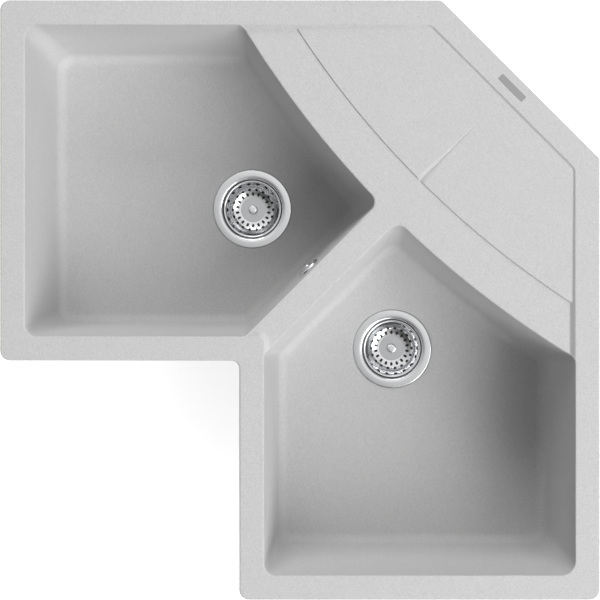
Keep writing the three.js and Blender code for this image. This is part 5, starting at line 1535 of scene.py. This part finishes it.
def hose():
    """The ribbed hose: its radius dips between the ribs by a power of a raised cosine of the
    distance, and is full over a plain cuff at each end. The bore runs back inside."""
    share = np.linspace(0, 1, HOSE_RIBS * ROWS_PER_RIB + 1)
    dip = (0.5 + 0.5 * np.cos(2 * math.pi * HOSE_RIBS * share)) ** RIB_POWER
    cuff = np.clip(np.minimum(share, 1 - share) * HOSE_RIBS - 0.5, 0, 1)
    outside = hose_rows(share * HOSE_LENGTH, HOSE_RADIUS - RIB_DEPTH * dip * cuff)
    back = np.linspace(1, 0, HOSE_RIBS + 1)
    inside = hose_rows(back * HOSE_LENGTH, np.full(len(back), float(HOSE_BORE)))
    rows = np.concatenate([outside, inside, outside[:1]])
    return rows.reshape(-1, 3), [grid_faces(len(rows), rows.shape[1], True)]


# %% [markdown]
# The cups stand upright and turn their sockets towards the hose, and the overflow's pieces lie on
# the axes of the leaning wall. Only the left cup takes the hose. The right one has the same socket,
# closed with a cap.

# %% Plastic and overflow pieces
for side, place in WASTES.items():
    x, y = HOSE_ALONG[:2]
    turn = turn_about_z(math.atan2(-y, -x) if side == "left" else math.atan2(-x, -y))
    port_axes = PORT_AXES @ turn
    port = place + [0, 0, -PORT_DEPTH]
    port_socket = socket(CUP_RADIUS - CUP_WALL, SOCKET_STOP, SOCKET_END, HOSE_BORE)
    shell = joined([placed(cup(), LEVEL, place), placed(boss(), LEVEL, place),
                    *[placed(web, turn, place) for web in webs()],
                    placed(port_socket, port_axes, port)])
    body = make_piece(f"waste_cup_{side}", *shell, "sink", "white_plastic",
                      replaces=[f"waste_body_{side}"], axis=(place, UP))
    name, node = (("lower_nut", "hose_nut_lower") if side == "left"
                  else ("port_cap", "blanking_cap"))
    end_piece = placed(hose_nut(SOCKET_END, closed=side == "right"), port_axes, port)
    fitting = make_piece(name, *end_piece, "sink", "grey_plastic",
                         replaces=[node], axis=(port, port_axes[2]))
    print(body.name, len(body.data.polygons), "faces,", fitting.name, len(fitting.data.polygons))

for name, part, slot, node in (
        ("rosette", rosette(), "chrome", "overflow_rosette"),
        ("face_screw", rosette_screw(), "chrome", "rosette_screw"),
        ("overflow_seal", overflow_seal(), "black_rubber", "overflow_gasket")):
    piece = make_piece(name, *placed(part, OVERFLOW_AXES, OVERFLOW_CENTRE), "sink", slot,
                       replaces=[node], axis=(OVERFLOW_CENTRE, WALL_NORMAL))
    print(piece.name, len(piece.data.polygons), "faces")

chamber = placed(overflow_chamber(), OVERFLOW_AXES, OVERFLOW_CENTRE)
down_socket = socket(SOCKET_START, SOCKET_DROP - SOCKET_DEPTH, SOCKET_DROP, HOSE_BORE)
cup_and_socket = joined([chamber, placed(down_socket, DOWN_AXES, SOCKET_ORIGIN)])
make_piece("overflow_cup", *cup_and_socket, "sink", "white_plastic",
           replaces=["overflow_body"], axis=(OVERFLOW_CENTRE, WALL_NORMAL))
upper_nut = placed(hose_nut(SOCKET_DROP), DOWN_AXES, SOCKET_ORIGIN)
make_piece("upper_nut", *upper_nut, "sink", "grey_plastic",
           replaces=["hose_nut_upper"], axis=(SOCKET_ORIGIN, WALL_UP))
ribbed = make_piece("ribbed_hose", *hose(), "sink", "hose_plastic", replaces=["overflow_hose"])
print(ribbed.name, len(ribbed.data.polygons), "faces")

# %% [markdown]
# ## Clips, tape and badge
#
# Nine clips pull the rim down onto the worktop. Each is a bent strip of zinc-plated steel, hooked
# into its lug, with a screw that presses a pad up against the worktop's underside. The strip is cut
# flat with its hole, and then bent, just as it is made.

# %% Clip sizes
CLIP_ARM_DEPTH = 54
CLIP_SCREW_INSET = 8
CLIP_SCREW_RADIUS = 3
CLIP_THREAD_PITCH = 1
CLIP_THREAD_DEPTH = 0.5
CLIP_CORNER = 2.5
STRIP_MARGIN = 0.3
WORKTOP = 38
PAD_RADIUS = 6
PAD_THICKNESS = 2
HEAD_RADIUS = 5
HEAD_HEIGHT = 4
HEAD_CHAMFER = 0.7
HEAD_TOP = -CLIP_ARM_DEPTH - 3
LEG = -LUG_INSET + GAP + CLIP_STEEL
STRIP_LINE = rounded([
    (-LUG_INSET - CLIP_TONGUE, -CLIP_TONGUE_DEPTH), (LEG, -CLIP_TONGUE_DEPTH, 2.6),
    (LEG, -CLIP_ARM_DEPTH + CLIP_STEEL, 1), (-1, -CLIP_ARM_DEPTH + CLIP_STEEL)], 6)


# %% Bracket
def bracket():
    """A strip with round corners and a hole, cut flat and bent along its line. Near an end its
    half width falls away like a circle: the root of the corner's radius squared less the square
    of what is missing to it."""
    lengths = lengths_along(STRIP_LINE)
    ends = CLIP_CORNER * (1 - np.cos(quarter(4)))
    v = np.unique(np.round(np.concatenate([lengths, ends, lengths[-1] - ends]), 4))
    missing = CLIP_CORNER - np.minimum(np.minimum(v, lengths[-1] - v), CLIP_CORNER)
    half = CLIP_WIDTH / 2 - CLIP_CORNER + np.sqrt(CLIP_CORNER ** 2 - missing ** 2)
    edge = np.concatenate([np.column_stack([half, v]), np.column_stack([-half, v])[::-1]])
    hole = disc(CLIP_SCREW_RADIUS + GAP, 24) + [0, lengths[-1] - CLIP_SCREW_INSET + 1]
    grid = np.stack(np.meshgrid(np.linspace(-0.3, 0.3, 3) * CLIP_WIDTH, v[1:-1]), -1).reshape(-1, 2)
    inside = distance_inside(grid, edge) > STRIP_MARGIN
    grid = grid[inside & clear_of(grid, [hole], STRIP_MARGIN)]
    plan, triangles = triangulated([edge, hole], [grid], lambda m: clear_of(m, [hole]))

    def bent(flat, side):
        point, normal = along_line(STRIP_LINE, flat[:, 1])
        point = point + normal * CLIP_STEEL * side
        return np.column_stack([point[:, 0], flat[:, 0], point[:, 1]])

    walls = [cut_edge(loop, bent, True) for loop in (edge, hole)]
    return joined(sheet(plan, triangles, bent) + walls)


# %% Pad screw
def hexagon(angle, height, radius):
    """Cuts the head to six flats: a flat's distance from the axis over the cosine of the turn from
    its middle, where that is less than the turned radius. The turned end stays as the chamfer."""
    flat = HEAD_RADIUS * math.cos(math.pi / 6) / np.cos(angle % (math.pi / 3) - math.pi / 6)
    head = (height < HEAD_TOP + 0.1) & (radius > CLIP_SCREW_RADIUS + 0.2)
    return np.where(head, np.minimum(flat, radius) - radius, 0)


def clip_screw():
    """Hexagon head, threaded shank and pad, turned in one go."""
    foot, pad, outside = HEAD_TOP - HEAD_HEIGHT, -WORKTOP - PAD_THICKNESS, HEAD_RADIUS + 0.05
    corners = rounded([
        (0, foot), (HEAD_RADIUS - HEAD_CHAMFER, foot, 0.2), (outside, foot + HEAD_CHAMFER, 0.2),
        (outside, HEAD_TOP, 0.2), (CLIP_SCREW_RADIUS, HEAD_TOP), (CLIP_SCREW_RADIUS, pad),
        (PAD_RADIUS, pad, 0.5), (PAD_RADIUS, -WORKTOP, 0.5), (0, -WORKTOP)], 3)
    cut_thread = thread(HEAD_TOP, pad, CLIP_THREAD_PITCH, CLIP_THREAD_DEPTH, CLIP_SCREW_RADIUS)

    def wave(angle, height, radius):
        return cut_thread(angle, height, radius) + hexagon(angle, height, radius)

    points, faces = turned(close_rows(corners, SCREW_SPACING), 24, wave)
    return points - [CLIP_SCREW_INSET, 0, 0], faces


# %% All the clips
strip, screw = bracket(), clip_screw()
for number, clip in enumerate(CLIPS, 1):
    for name, part, node in (
            ("bent_strip", strip, "clip_bracket"), ("pad_screw", screw, "clip_screw")):
        make_piece(f"{name}_{number}", *at_clip(part, clip), "sink", "zinc_steel",
                   replaces=[f"{node}_{number}"])
print("clips:", len(CLIPS), "of", len(strip[0]), "and", len(screw[0]), "points")

# %% [markdown]
# A strip of closed-cell foam seals the rim to the worktop. It is a small section that is carried
# round the moulding's own outline, so it follows every corner. The badge is a thin enamelled plate
# that lies on the rim at the cut-off corner.

# %% Tape and badge
BADGE_LENGTH = 46
BADGE_WIDTH = 10
BADGE_CORNER = 1.2
BADGE_CORNER_ROWS = 6
BADGE_SECTION = [(2, -0.5), (0, -0.5), (0, 0.05), (0.08, 0.2), (0.25, 0.29), (0.5, 0.3), (4.5, 0.3)]
BADGE_RIDGE = 4  # how far short of its ends the line is that closes the badge's faces


def tape():
    """A foam strip with rounded edges, carried round the groove under the rim."""
    near, far = TAPE_INSET + GAP, TAPE_INSET + TAPE_WIDTH - GAP
    section = rounded([((near + far) / 2, 0), (far, 0, 0.7), (far, TAPE_THICKNESS, 0.3),
                       (near, TAPE_THICKNESS, 0.3), (near, 0, 0.7), ((near + far) / 2, 0)], 4)
    rows = np.stack([raised(body_outline(inset), z) for inset, z in section])
    return rows.reshape(-1, 3), [grid_faces(*rows.shape[:2], True)]


def badge():
    """A thin plate with rounded corners: outlines of a rounded rectangle, set in as they rise. The
    first and the last are drawn together to a line along the middle, which closes both faces."""
    rows = []
    for inset, rise in BADGE_SECTION:
        x, y = BADGE_LENGTH / 2 - inset, BADGE_WIDTH / 2 - inset
        r = max(BADGE_CORNER - inset, 0.1)
        corners = [(x - r, y - r, 0), (r - x, y - r, 1), (r - x, r - y, 2), (x - r, r - y, 3)]
        loop = [np.column_stack([cx + r * np.cos(a), cy + r * np.sin(a)]) for cx, cy, q in corners
                for a in [quarter(BADGE_CORNER_ROWS) + q * math.pi / 2]]
        rows.append(raised(np.concatenate(loop), rise))
    for k in (0, -1):
        middle = np.sign(rows[k][:, 0]) * np.maximum(np.abs(rows[k][:, 0]) - BADGE_RIDGE, 0)
        rows[k] = np.column_stack([middle, 0 * middle, rows[k][:, 2]])
    rows = np.stack(rows)
    centre = np.array([1, 1, 0]) * (CORNER_CUT_T - RIM_WIDTH / 2) * DIAGONAL + [0, 0, RIM_HEIGHT]
    part = (rows.reshape(-1, 3), [grid_faces(*rows.shape[:2], True)])
    return placed(part, turn_about_z(-math.pi / 4), centre)


foam_tape = make_piece("foam_tape", *tape(), "sink", "foam", replaces=["sealing_tape"])
bare_badge = make_piece("bare_badge", *badge(), "sink", "badge_grey", replaces=["badge_plate"])
print("tape:", len(foam_tape.data.polygons), "faces, badge:", len(bare_badge.data.polygons))

# %% [markdown]
# ## Finishes
#
# Every finish is a node material. One function turns the hex colours that people read off a screen
# into the linear values that light is worked out with, and one adds a node with its settings and
# its links. Noise hardly ever comes near 0 or 1, so it is stretched from the middle of its range.

# %% Shader helpers
NOISE_RANGE = {"From Min": 0.3, "From Max": 0.7}


def linear(hex_colour):
    """An sRGB hex colour as linear RGBA: small values over 12.92, and for the others the power 2.4
    of the value with 0.055 more, over 1.055."""
    value = [int(hex_colour[i:i + 2], 16) / 255 for i in (1, 3, 5)]
    return (*[v / 12.92 if v <= 0.04045 else ((v + 0.055) / 1.055) ** 2.4 for v in value], 1)


def add(tree, kind, settings=(), links=()):
    """A node with its attributes or sockets set, and its inputs linked from other sockets."""
    node = tree.nodes.new(kind)
    for key, value in dict(settings).items():
        if isinstance(key, str) and hasattr(node, key):
            setattr(node, key, value)
        else:
            node.inputs[key].default_value = value
    for key, socket in dict(links).items():
        tree.links.new(socket, node.inputs[key])
    return node


def new_material(name):
    """An empty node material with its output, and the point that is being shaded on the object."""
    material = bpy.data.materials.new(name)
    material.use_nodes = True
    tree = material.node_tree
    tree.nodes.clear()
    out = tree.nodes.new("ShaderNodeOutputMaterial")
    place = add(tree, "ShaderNodeTexCoord").outputs["Object"]
    return material, tree, out, place


def blend(tree, factor, colours):
    """Between two hex colours by a factor. A mix node keeps its colour sockets at 6 and 7, after
    those for numbers and vectors, and its colour result at 2."""
    first, second = map(linear, colours)
    node = add(tree, "ShaderNodeMix", {"data_type": "RGBA", 6: first, 7: second}, {0: factor})
    return node.outputs[2]


def size(millimetres):
    """The scale at which a texture's pattern repeats every so many millimetres."""
    return 1 / (millimetres * MM)


def surfaced(tree, out, settings, colour, rough, height, strength, relief):
    """The end of a finish: a shader with its colour and roughness, whose light is tilted as if the
    surface rose and fell with height, by so many millimetres in all."""
    bump = add(tree, "ShaderNodeBump", {"Strength": strength, "Distance": relief * MM},
               {"Height": height})
    shader = add(tree, "ShaderNodeBsdfPrincipled", settings, {
        "Base Color": colour, "Roughness": rough, "Normal": bump.outputs[0]})
    tree.links.new(shader.outputs[0], out.inputs[0])


# %% [markdown]
# ### Quartz composite
#
# About four fifths of it are quartz grains of a few tenths of a millimetre, bound in acrylic and
# cast against a finely blasted mould. To the eye that is a matt stone with a soft speckle: most
# grains are near the body colour, some are paler, a few are darker. The largest grains, 0.7 mm
# wide, are the ones drawn here: from this far away each pixel holds a few of them, and what is left
# is the faint unrest that tells stone from paint.

# %% Quartz composite
GRAIN = 0.7  # mm
GRAIN_ROUGHNESS = {"To Min": 0.5, "To Max": 0.7}
CLOUD = 34  # mm, the size of the slow drift in the mix
CLOUD_TINT = {"To Min": 0.99, "To Max": 1.01}
BLASTING = 0.9  # mm, the size of the marks of the mould
GRAIN_EXTREMES = ("#b5b5b5", "#d9d9d8")
GRAIN_SHADES = {0.12: "#c4c4c4", 0.5: "#cacaca", 0.88: "#cfcfcf"}  # by their share of the grains


def quartz_composite():
    """Cells of a Voronoi pattern are the grains: each takes its own random shade."""
    material, tree, out, place = new_material("quartz_composite")
    grains = add(tree, "ShaderNodeTexVoronoi", {"Scale": size(GRAIN)}, {"Vector": place})
    shade = add(tree, "ShaderNodeSeparateColor", {}, {"Color": grains.outputs["Color"]})
    speckle = add(tree, "ShaderNodeValToRGB", {}, {"Fac": shade.outputs[0]})
    stops = speckle.color_ramp.elements
    stops[0].color, stops[1].color = map(linear, GRAIN_EXTREMES)
    for position, colour in GRAIN_SHADES.items():
        stops.new(position).color = linear(colour)
    cloud = add(tree, "ShaderNodeTexNoise", {"Scale": size(CLOUD), "Detail": 3}, {"Vector": place})
    tint = add(tree, "ShaderNodeMapRange", {**NOISE_RANGE, **CLOUD_TINT},
               {"Value": cloud.outputs["Fac"]})
    colour = add(tree, "ShaderNodeVectorMath", {"operation": "SCALE"},
                 {0: speckle.outputs["Color"], "Scale": tint.outputs[0]})
    sheen = add(tree, "ShaderNodeMapRange", GRAIN_ROUGHNESS, {"Value": shade.outputs[1]})
    fine = add(tree, "ShaderNodeTexNoise", {
        "Scale": size(BLASTING), "Detail": 4, "Roughness": 0.6}, {"Vector": place})
    surfaced(tree, out, {"IOR": 1.5, "Specular IOR Level": 0.25}, colour.outputs[0],
             sheen.outputs[0], fine.outputs["Fac"], strength=0.08, relief=0.25)
    return material


# %% [markdown]
# ### Metals
#
# The flange, basket and knob are stainless steel, turned and polished in a lathe, so very fine
# rings run round their axis and pull a highlight out along them. Each such piece carries its
# distance from its own axis as an attribute, and a one-dimensional noise of that distance draws the
# rings. Inside the dish, under the basket, and on the basket's floor, the steel is made rougher and
# painted dark. That dark colour is painted shade, so nothing shines up through the slots. The
# rosette is chromed plastic, which has no rings, only faint wiping marks. The clips are zinc
# plated: a soft grey-blue shine, cloudy where the plating is thicker.

# %% Metals
# Painted shade: the dark colour that the steel takes in the dish under the basket and on the
# basket's floor.
PAINTED_SHADE_COLOUR = "#4a4b4d"
AS_DRAWN_ROUGHER = 0.35
RING_PITCH = 0.7  # mm
WIPE_SIZE = 3  # mm
WIPE_DEPTH = 0.01  # mm
METAL_SPREAD = (0.8, 1.25)  # the least and the most of a metal's roughness, as shares of it


def metal(name, colours, roughness, rings=0.0, cloud=24.0):
    """A metal whose colour drifts with a slow noise, and whose roughness follows its marks: rings
    of some depth in millimetres round the piece's axis, or wiping marks. Where the attribute
    "as_drawn" is 1 it is rougher, and its colour is painted shade."""
    material, tree, out, place = new_material(name)
    drift = add(tree, "ShaderNodeTexNoise", {"Scale": size(cloud), "Detail": 3}, {"Vector": place})
    colour = blend(tree, drift.outputs["Fac"], colours)
    # drawn is how much painted shade and extra roughness a point takes.
    drawn = add(tree, "ShaderNodeAttribute", {"attribute_name": "as_drawn"}).outputs["Fac"]
    colour = add(tree, "ShaderNodeMix", {"data_type": "RGBA", 7: linear(PAINTED_SHADE_COLOUR)},
                 {0: drawn, 6: colour})
    if rings:
        distance = add(tree, "ShaderNodeAttribute", {"attribute_name": "from_axis"})
        marks = add(tree, "ShaderNodeTexNoise", {
            "noise_dimensions": "1D", "Scale": size(RING_PITCH), "Detail": 4},
            {"W": distance.outputs["Fac"]})
    else:
        marks = add(tree, "ShaderNodeTexNoise", {"Scale": size(WIPE_SIZE), "Detail": 2},
                    {"Vector": place})
    least, most = (roughness * share for share in METAL_SPREAD)
    rough = add(tree, "ShaderNodeMapRange", {**NOISE_RANGE, "To Min": least, "To Max": most},
                {"Value": marks.outputs["Fac"]})
    rougher = add(tree, "ShaderNodeMath", {"operation": "MULTIPLY_ADD", 1: AS_DRAWN_ROUGHER},
                  {0: drawn, 2: rough.outputs[0]})
    surfaced(tree, out, {"Metallic": 1.0}, colour.outputs[2], rougher.outputs[0],
             marks.outputs["Fac"], strength=0.25, relief=max(rings, WIPE_DEPTH))
    return material


# %% [markdown]
# ### Plastics, rubber and foam
#
# The cups are moulded polypropylene, slightly waxy. The nuts are a harder grey plastic and the hose
# is soft polyethylene. What the eye reads as plastic is an even colour under a low sheen that is
# broken by the mould's fine spark-eroded grain. Rubber has the same make-up with hardly any sheen,
# and foam adds the small closed cells of its skin.

# %% Plastics
PLASTIC_DRIFT = 18  # mm
PLASTIC_SPREAD = (0.85, 1.15)  # the same shares for a plastic's roughness


def moulded(name, colours, roughness, grain, relief, ior=1.5, cells=False):
    """A moulded finish: a slow drift between two colours, and a grain of one size in millimetres
    that sets both the roughness and a small relief."""
    material, tree, out, place = new_material(name)
    drift = add(tree, "ShaderNodeTexNoise", {"Scale": size(PLASTIC_DRIFT), "Detail": 2},
                {"Vector": place})
    colour = blend(tree, drift.outputs["Fac"], colours)
    kind = "ShaderNodeTexVoronoi" if cells else "ShaderNodeTexNoise"
    pattern = add(tree, kind, {"Scale": size(grain)}, {"Vector": place})
    height = pattern.outputs["Distance" if cells else "Fac"]
    least, most = (min(roughness * share, 1) for share in PLASTIC_SPREAD)
    rough = add(tree, "ShaderNodeMapRange", {**NOISE_RANGE, "To Min": least, "To Max": most},
                {"Value": height})
    surfaced(tree, out, {"IOR": ior}, colour, rough.outputs[0], height, strength=0.3, relief=relief)
    return material


# %% [markdown]
# Each slot gets one finish, with the colours of its real material in two close shades, which a slow
# noise drifts between, as no real surface has quite one colour.

# %% Finishes of the slots
FINISHES = {
    "composite": quartz_composite(),
    "polished_steel": metal("polished_stainless_steel", ("#d8d9da", "#dfe0e1"), 0.1, rings=0.004),
    "chrome": metal("chrome_plating", ("#e2e3e5", "#e8e8ea"), 0.05),
    "zinc_steel": metal("zinc_plated_steel", ("#a9adb3", "#c2c4c8"), 0.36, cloud=5),
    "white_plastic": moulded("polypropylene", ("#e2e2de", "#e9e9e5"), 0.42, 0.8, 0.03, 1.49),
    "grey_plastic": moulded("grey_polyamide", ("#7a7e83", "#84888d"), 0.45, 0.6, 0.04, 1.53),
    "hose_plastic": moulded("soft_polyethylene", ("#a9adb0", "#b3b6b9"), 0.38, 1.0, 0.03, 1.51),
    "badge_grey": moulded("satin_enamel", ("#979797", "#9d9d9d"), 0.4, 0.7, 0.02, 1.5),
    "black_rubber": moulded("nitrile_rubber", ("#1a1b1d", "#222325"), 0.75, 0.5, 0.04, 1.52),
    "foam": moulded("closed_cell_foam", ("#45464a", "#515256"), 0.95, 0.9, 0.35, 1.4, cells=True),
}
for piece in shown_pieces():
    piece.data.materials.clear()
    piece.data.materials.append(FINISHES[piece["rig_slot"]])
print("finishes:", ", ".join(m.name for m in FINISHES.values()))

# %% [markdown]
# ## Floor and light
#
# The sink stands in a plain pale studio. One soft lamp stands behind it and two in front, towards
# the right, and a little light comes from every side. So the walls that look left and to the front
# are bright, and the curved ones, which look away from all the lamps, lie in soft shade. The lamps
# are far off, which keeps the rim as bright on one side as on the other.

# %% Lamps
LAMP_DISTANCE = 9.0  # m
LAMP_SIZE = 6.0  # m


def add_light(name, azimuth, elevation, power):
    """A soft square lamp that looks at the sink. The azimuth is anticlockwise from +X, and both
    angles are in degrees. It stands away by the cosines and sines of the two."""
    data = bpy.data.lights.new(name, "AREA")
    data.shape, data.size, data.energy = "SQUARE", LAMP_SIZE, power
    lamp = bpy.data.objects.new(name, data)
    a, e = math.radians(azimuth), math.radians(elevation)
    away = Vector((math.cos(a) * math.cos(e), math.sin(a) * math.cos(e), math.sin(e)))
    lamp.location = Vector(PLAN_CENTRE) + away * LAMP_DISTANCE
    lamp.rotation_euler = away.to_track_quat("Z", "Y").to_euler()
    bpy.context.scene.collection.objects.link(lamp)
    print(name, "at", [round(v, 2) for v in lamp.location], "with", power, "W")


add_light("back_lamp", 90, 30, 545)
add_light("right_lamp", -30, 45, 560)
add_light("front_lamp", -60, 30, 350)

# %% [markdown]
# The camera sees the world and the floor as white, and whatever mirrors the surroundings sees the
# white too, except for the unlit end of the studio, up to the front left, which gives polished
# steel its dark side. For all other light the world is only a weak fill. The floor is a pale matt
# surface that shines a little for the camera, so it comes out white where the lamps reach it and
# keeps the sink's shadow. From below it is clear, so that the underside can be looked at.

# %% Light paths
LARGER = {"operation": "MAXIMUM"}


def mirrored(tree):
    """1 for light paths that come off a mirror or through something clear, else 0: the larger of
    Blender's two flags for them."""
    path = add(tree, "ShaderNodeLightPath").outputs
    flags = {0: path["Is Glossy Ray"], 1: path["Is Transmission Ray"]}
    return add(tree, "ShaderNodeMath", LARGER, flags).outputs[0]


def seen_directly(tree):
    """1 for light paths that go to the camera, a mirror or through something clear, else 0."""
    path = add(tree, "ShaderNodeLightPath").outputs
    flags = {0: path["Is Camera Ray"], 1: mirrored(tree)}
    return add(tree, "ShaderNodeMath", LARGER, flags).outputs[0]


# %% Floor
FLOOR_GLOW = 0.76
FLOOR_REACH = 9  # m
FLOOR_PATCHES = 400  # mm
FLOOR_GAP = 0.0002  # m, so that the floor doesn't touch the lowest piece
FLOOR_CORNERS = ((-1, -1), (1, -1), (1, 1), (-1, 1))

floor_level = cad_low.z - FLOOR_GAP
corners = [(x * FLOOR_REACH, y * FLOOR_REACH, floor_level) for x, y in FLOOR_CORNERS]
floor_mesh = bpy.data.meshes.new("floor")
floor_mesh.from_pydata(corners, [], [(0, 1, 2, 3)])
floor = bpy.data.objects.new("floor", floor_mesh)
bpy.context.scene.collection.objects.link(floor)

floor_material, tree, out, place = new_material("pale_matt_floor")
patches = add(tree, "ShaderNodeTexNoise", {"Scale": size(FLOOR_PATCHES), "Detail": 2},
              {"Vector": place})
pale = blend(tree, patches.outputs["Fac"], ("#e4e4e4", "#e8e8e8"))
matt = add(tree, "ShaderNodeBsdfDiffuse", {}, {"Color": pale})
shine = add(tree, "ShaderNodeMath", {"operation": "MULTIPLY", 1: FLOOR_GLOW},
            {0: seen_directly(tree)})
glow = add(tree, "ShaderNodeEmission", {"Color": (1, 1, 1, 1)}, {"Strength": shine.outputs[0]})
total = add(tree, "ShaderNodeAddShader", {}, {0: matt.outputs[0], 1: glow.outputs[0]})
below = add(tree, "ShaderNodeMath", {"operation": "MULTIPLY"}, {
    0: add(tree, "ShaderNodeNewGeometry").outputs["Backfacing"],
    1: add(tree, "ShaderNodeLightPath").outputs["Is Camera Ray"]})
clear = add(tree, "ShaderNodeBsdfTransparent")
surface = add(tree, "ShaderNodeMixShader", {}, {
    0: below.outputs[0], 1: total.outputs[0], 2: clear.outputs[0]})
tree.links.new(surface.outputs[0], out.inputs[0])
floor_mesh.materials.append(floor_material)
print("floor at z", round(floor_level, 4), "m")

# %% World
WORLD_FILL = 0.11
UNLIT_END = (-0.6, -0.6, 0.53)
UNLIT_STRENGTH = 0.1
UNLIT_EDGE = {"From Min": 0.4, "From Max": 0.92}  # cosines of the angles where the dark end fades

world = bpy.data.worlds.new("studio")
world.use_nodes = True
bpy.context.scene.world = world
tree = world.node_tree
direction = add(tree, "ShaderNodeTexCoord").outputs["Generated"]
towards = add(tree, "ShaderNodeVectorMath", {"operation": "DOT_PRODUCT", 1: UNLIT_END},
              {0: direction})
studio = add(tree, "ShaderNodeMapRange", {**UNLIT_EDGE, "To Min": 1.0, "To Max": UNLIT_STRENGTH},
             {"Value": towards.outputs["Value"]})
behind = add(tree, "ShaderNodeMapRange", {"To Min": WORLD_FILL},
             {"Value": mirrored(tree), "To Max": studio.outputs[0]})
camera_ray = add(tree, "ShaderNodeLightPath").outputs["Is Camera Ray"]
strength = add(tree, "ShaderNodeMath", LARGER, {0: behind.outputs[0], 1: camera_ray})
background = tree.nodes["Background"]
background.inputs["Color"].default_value = (1, 1, 1, 1)
tree.links.new(strength.outputs[0], background.inputs["Strength"])
print("world fill:", WORLD_FILL)

# %% [markdown]
# ## Settings and sizes
#
# The standard view shows the colours as they are, without the curve of a film. The CAD part's box,
# measured at the start, is printed once more.

# %% Settings and sizes
bpy.context.scene.view_settings.view_transform = "Standard"
print("CAD box:", list(cad_low), list(cad_high))
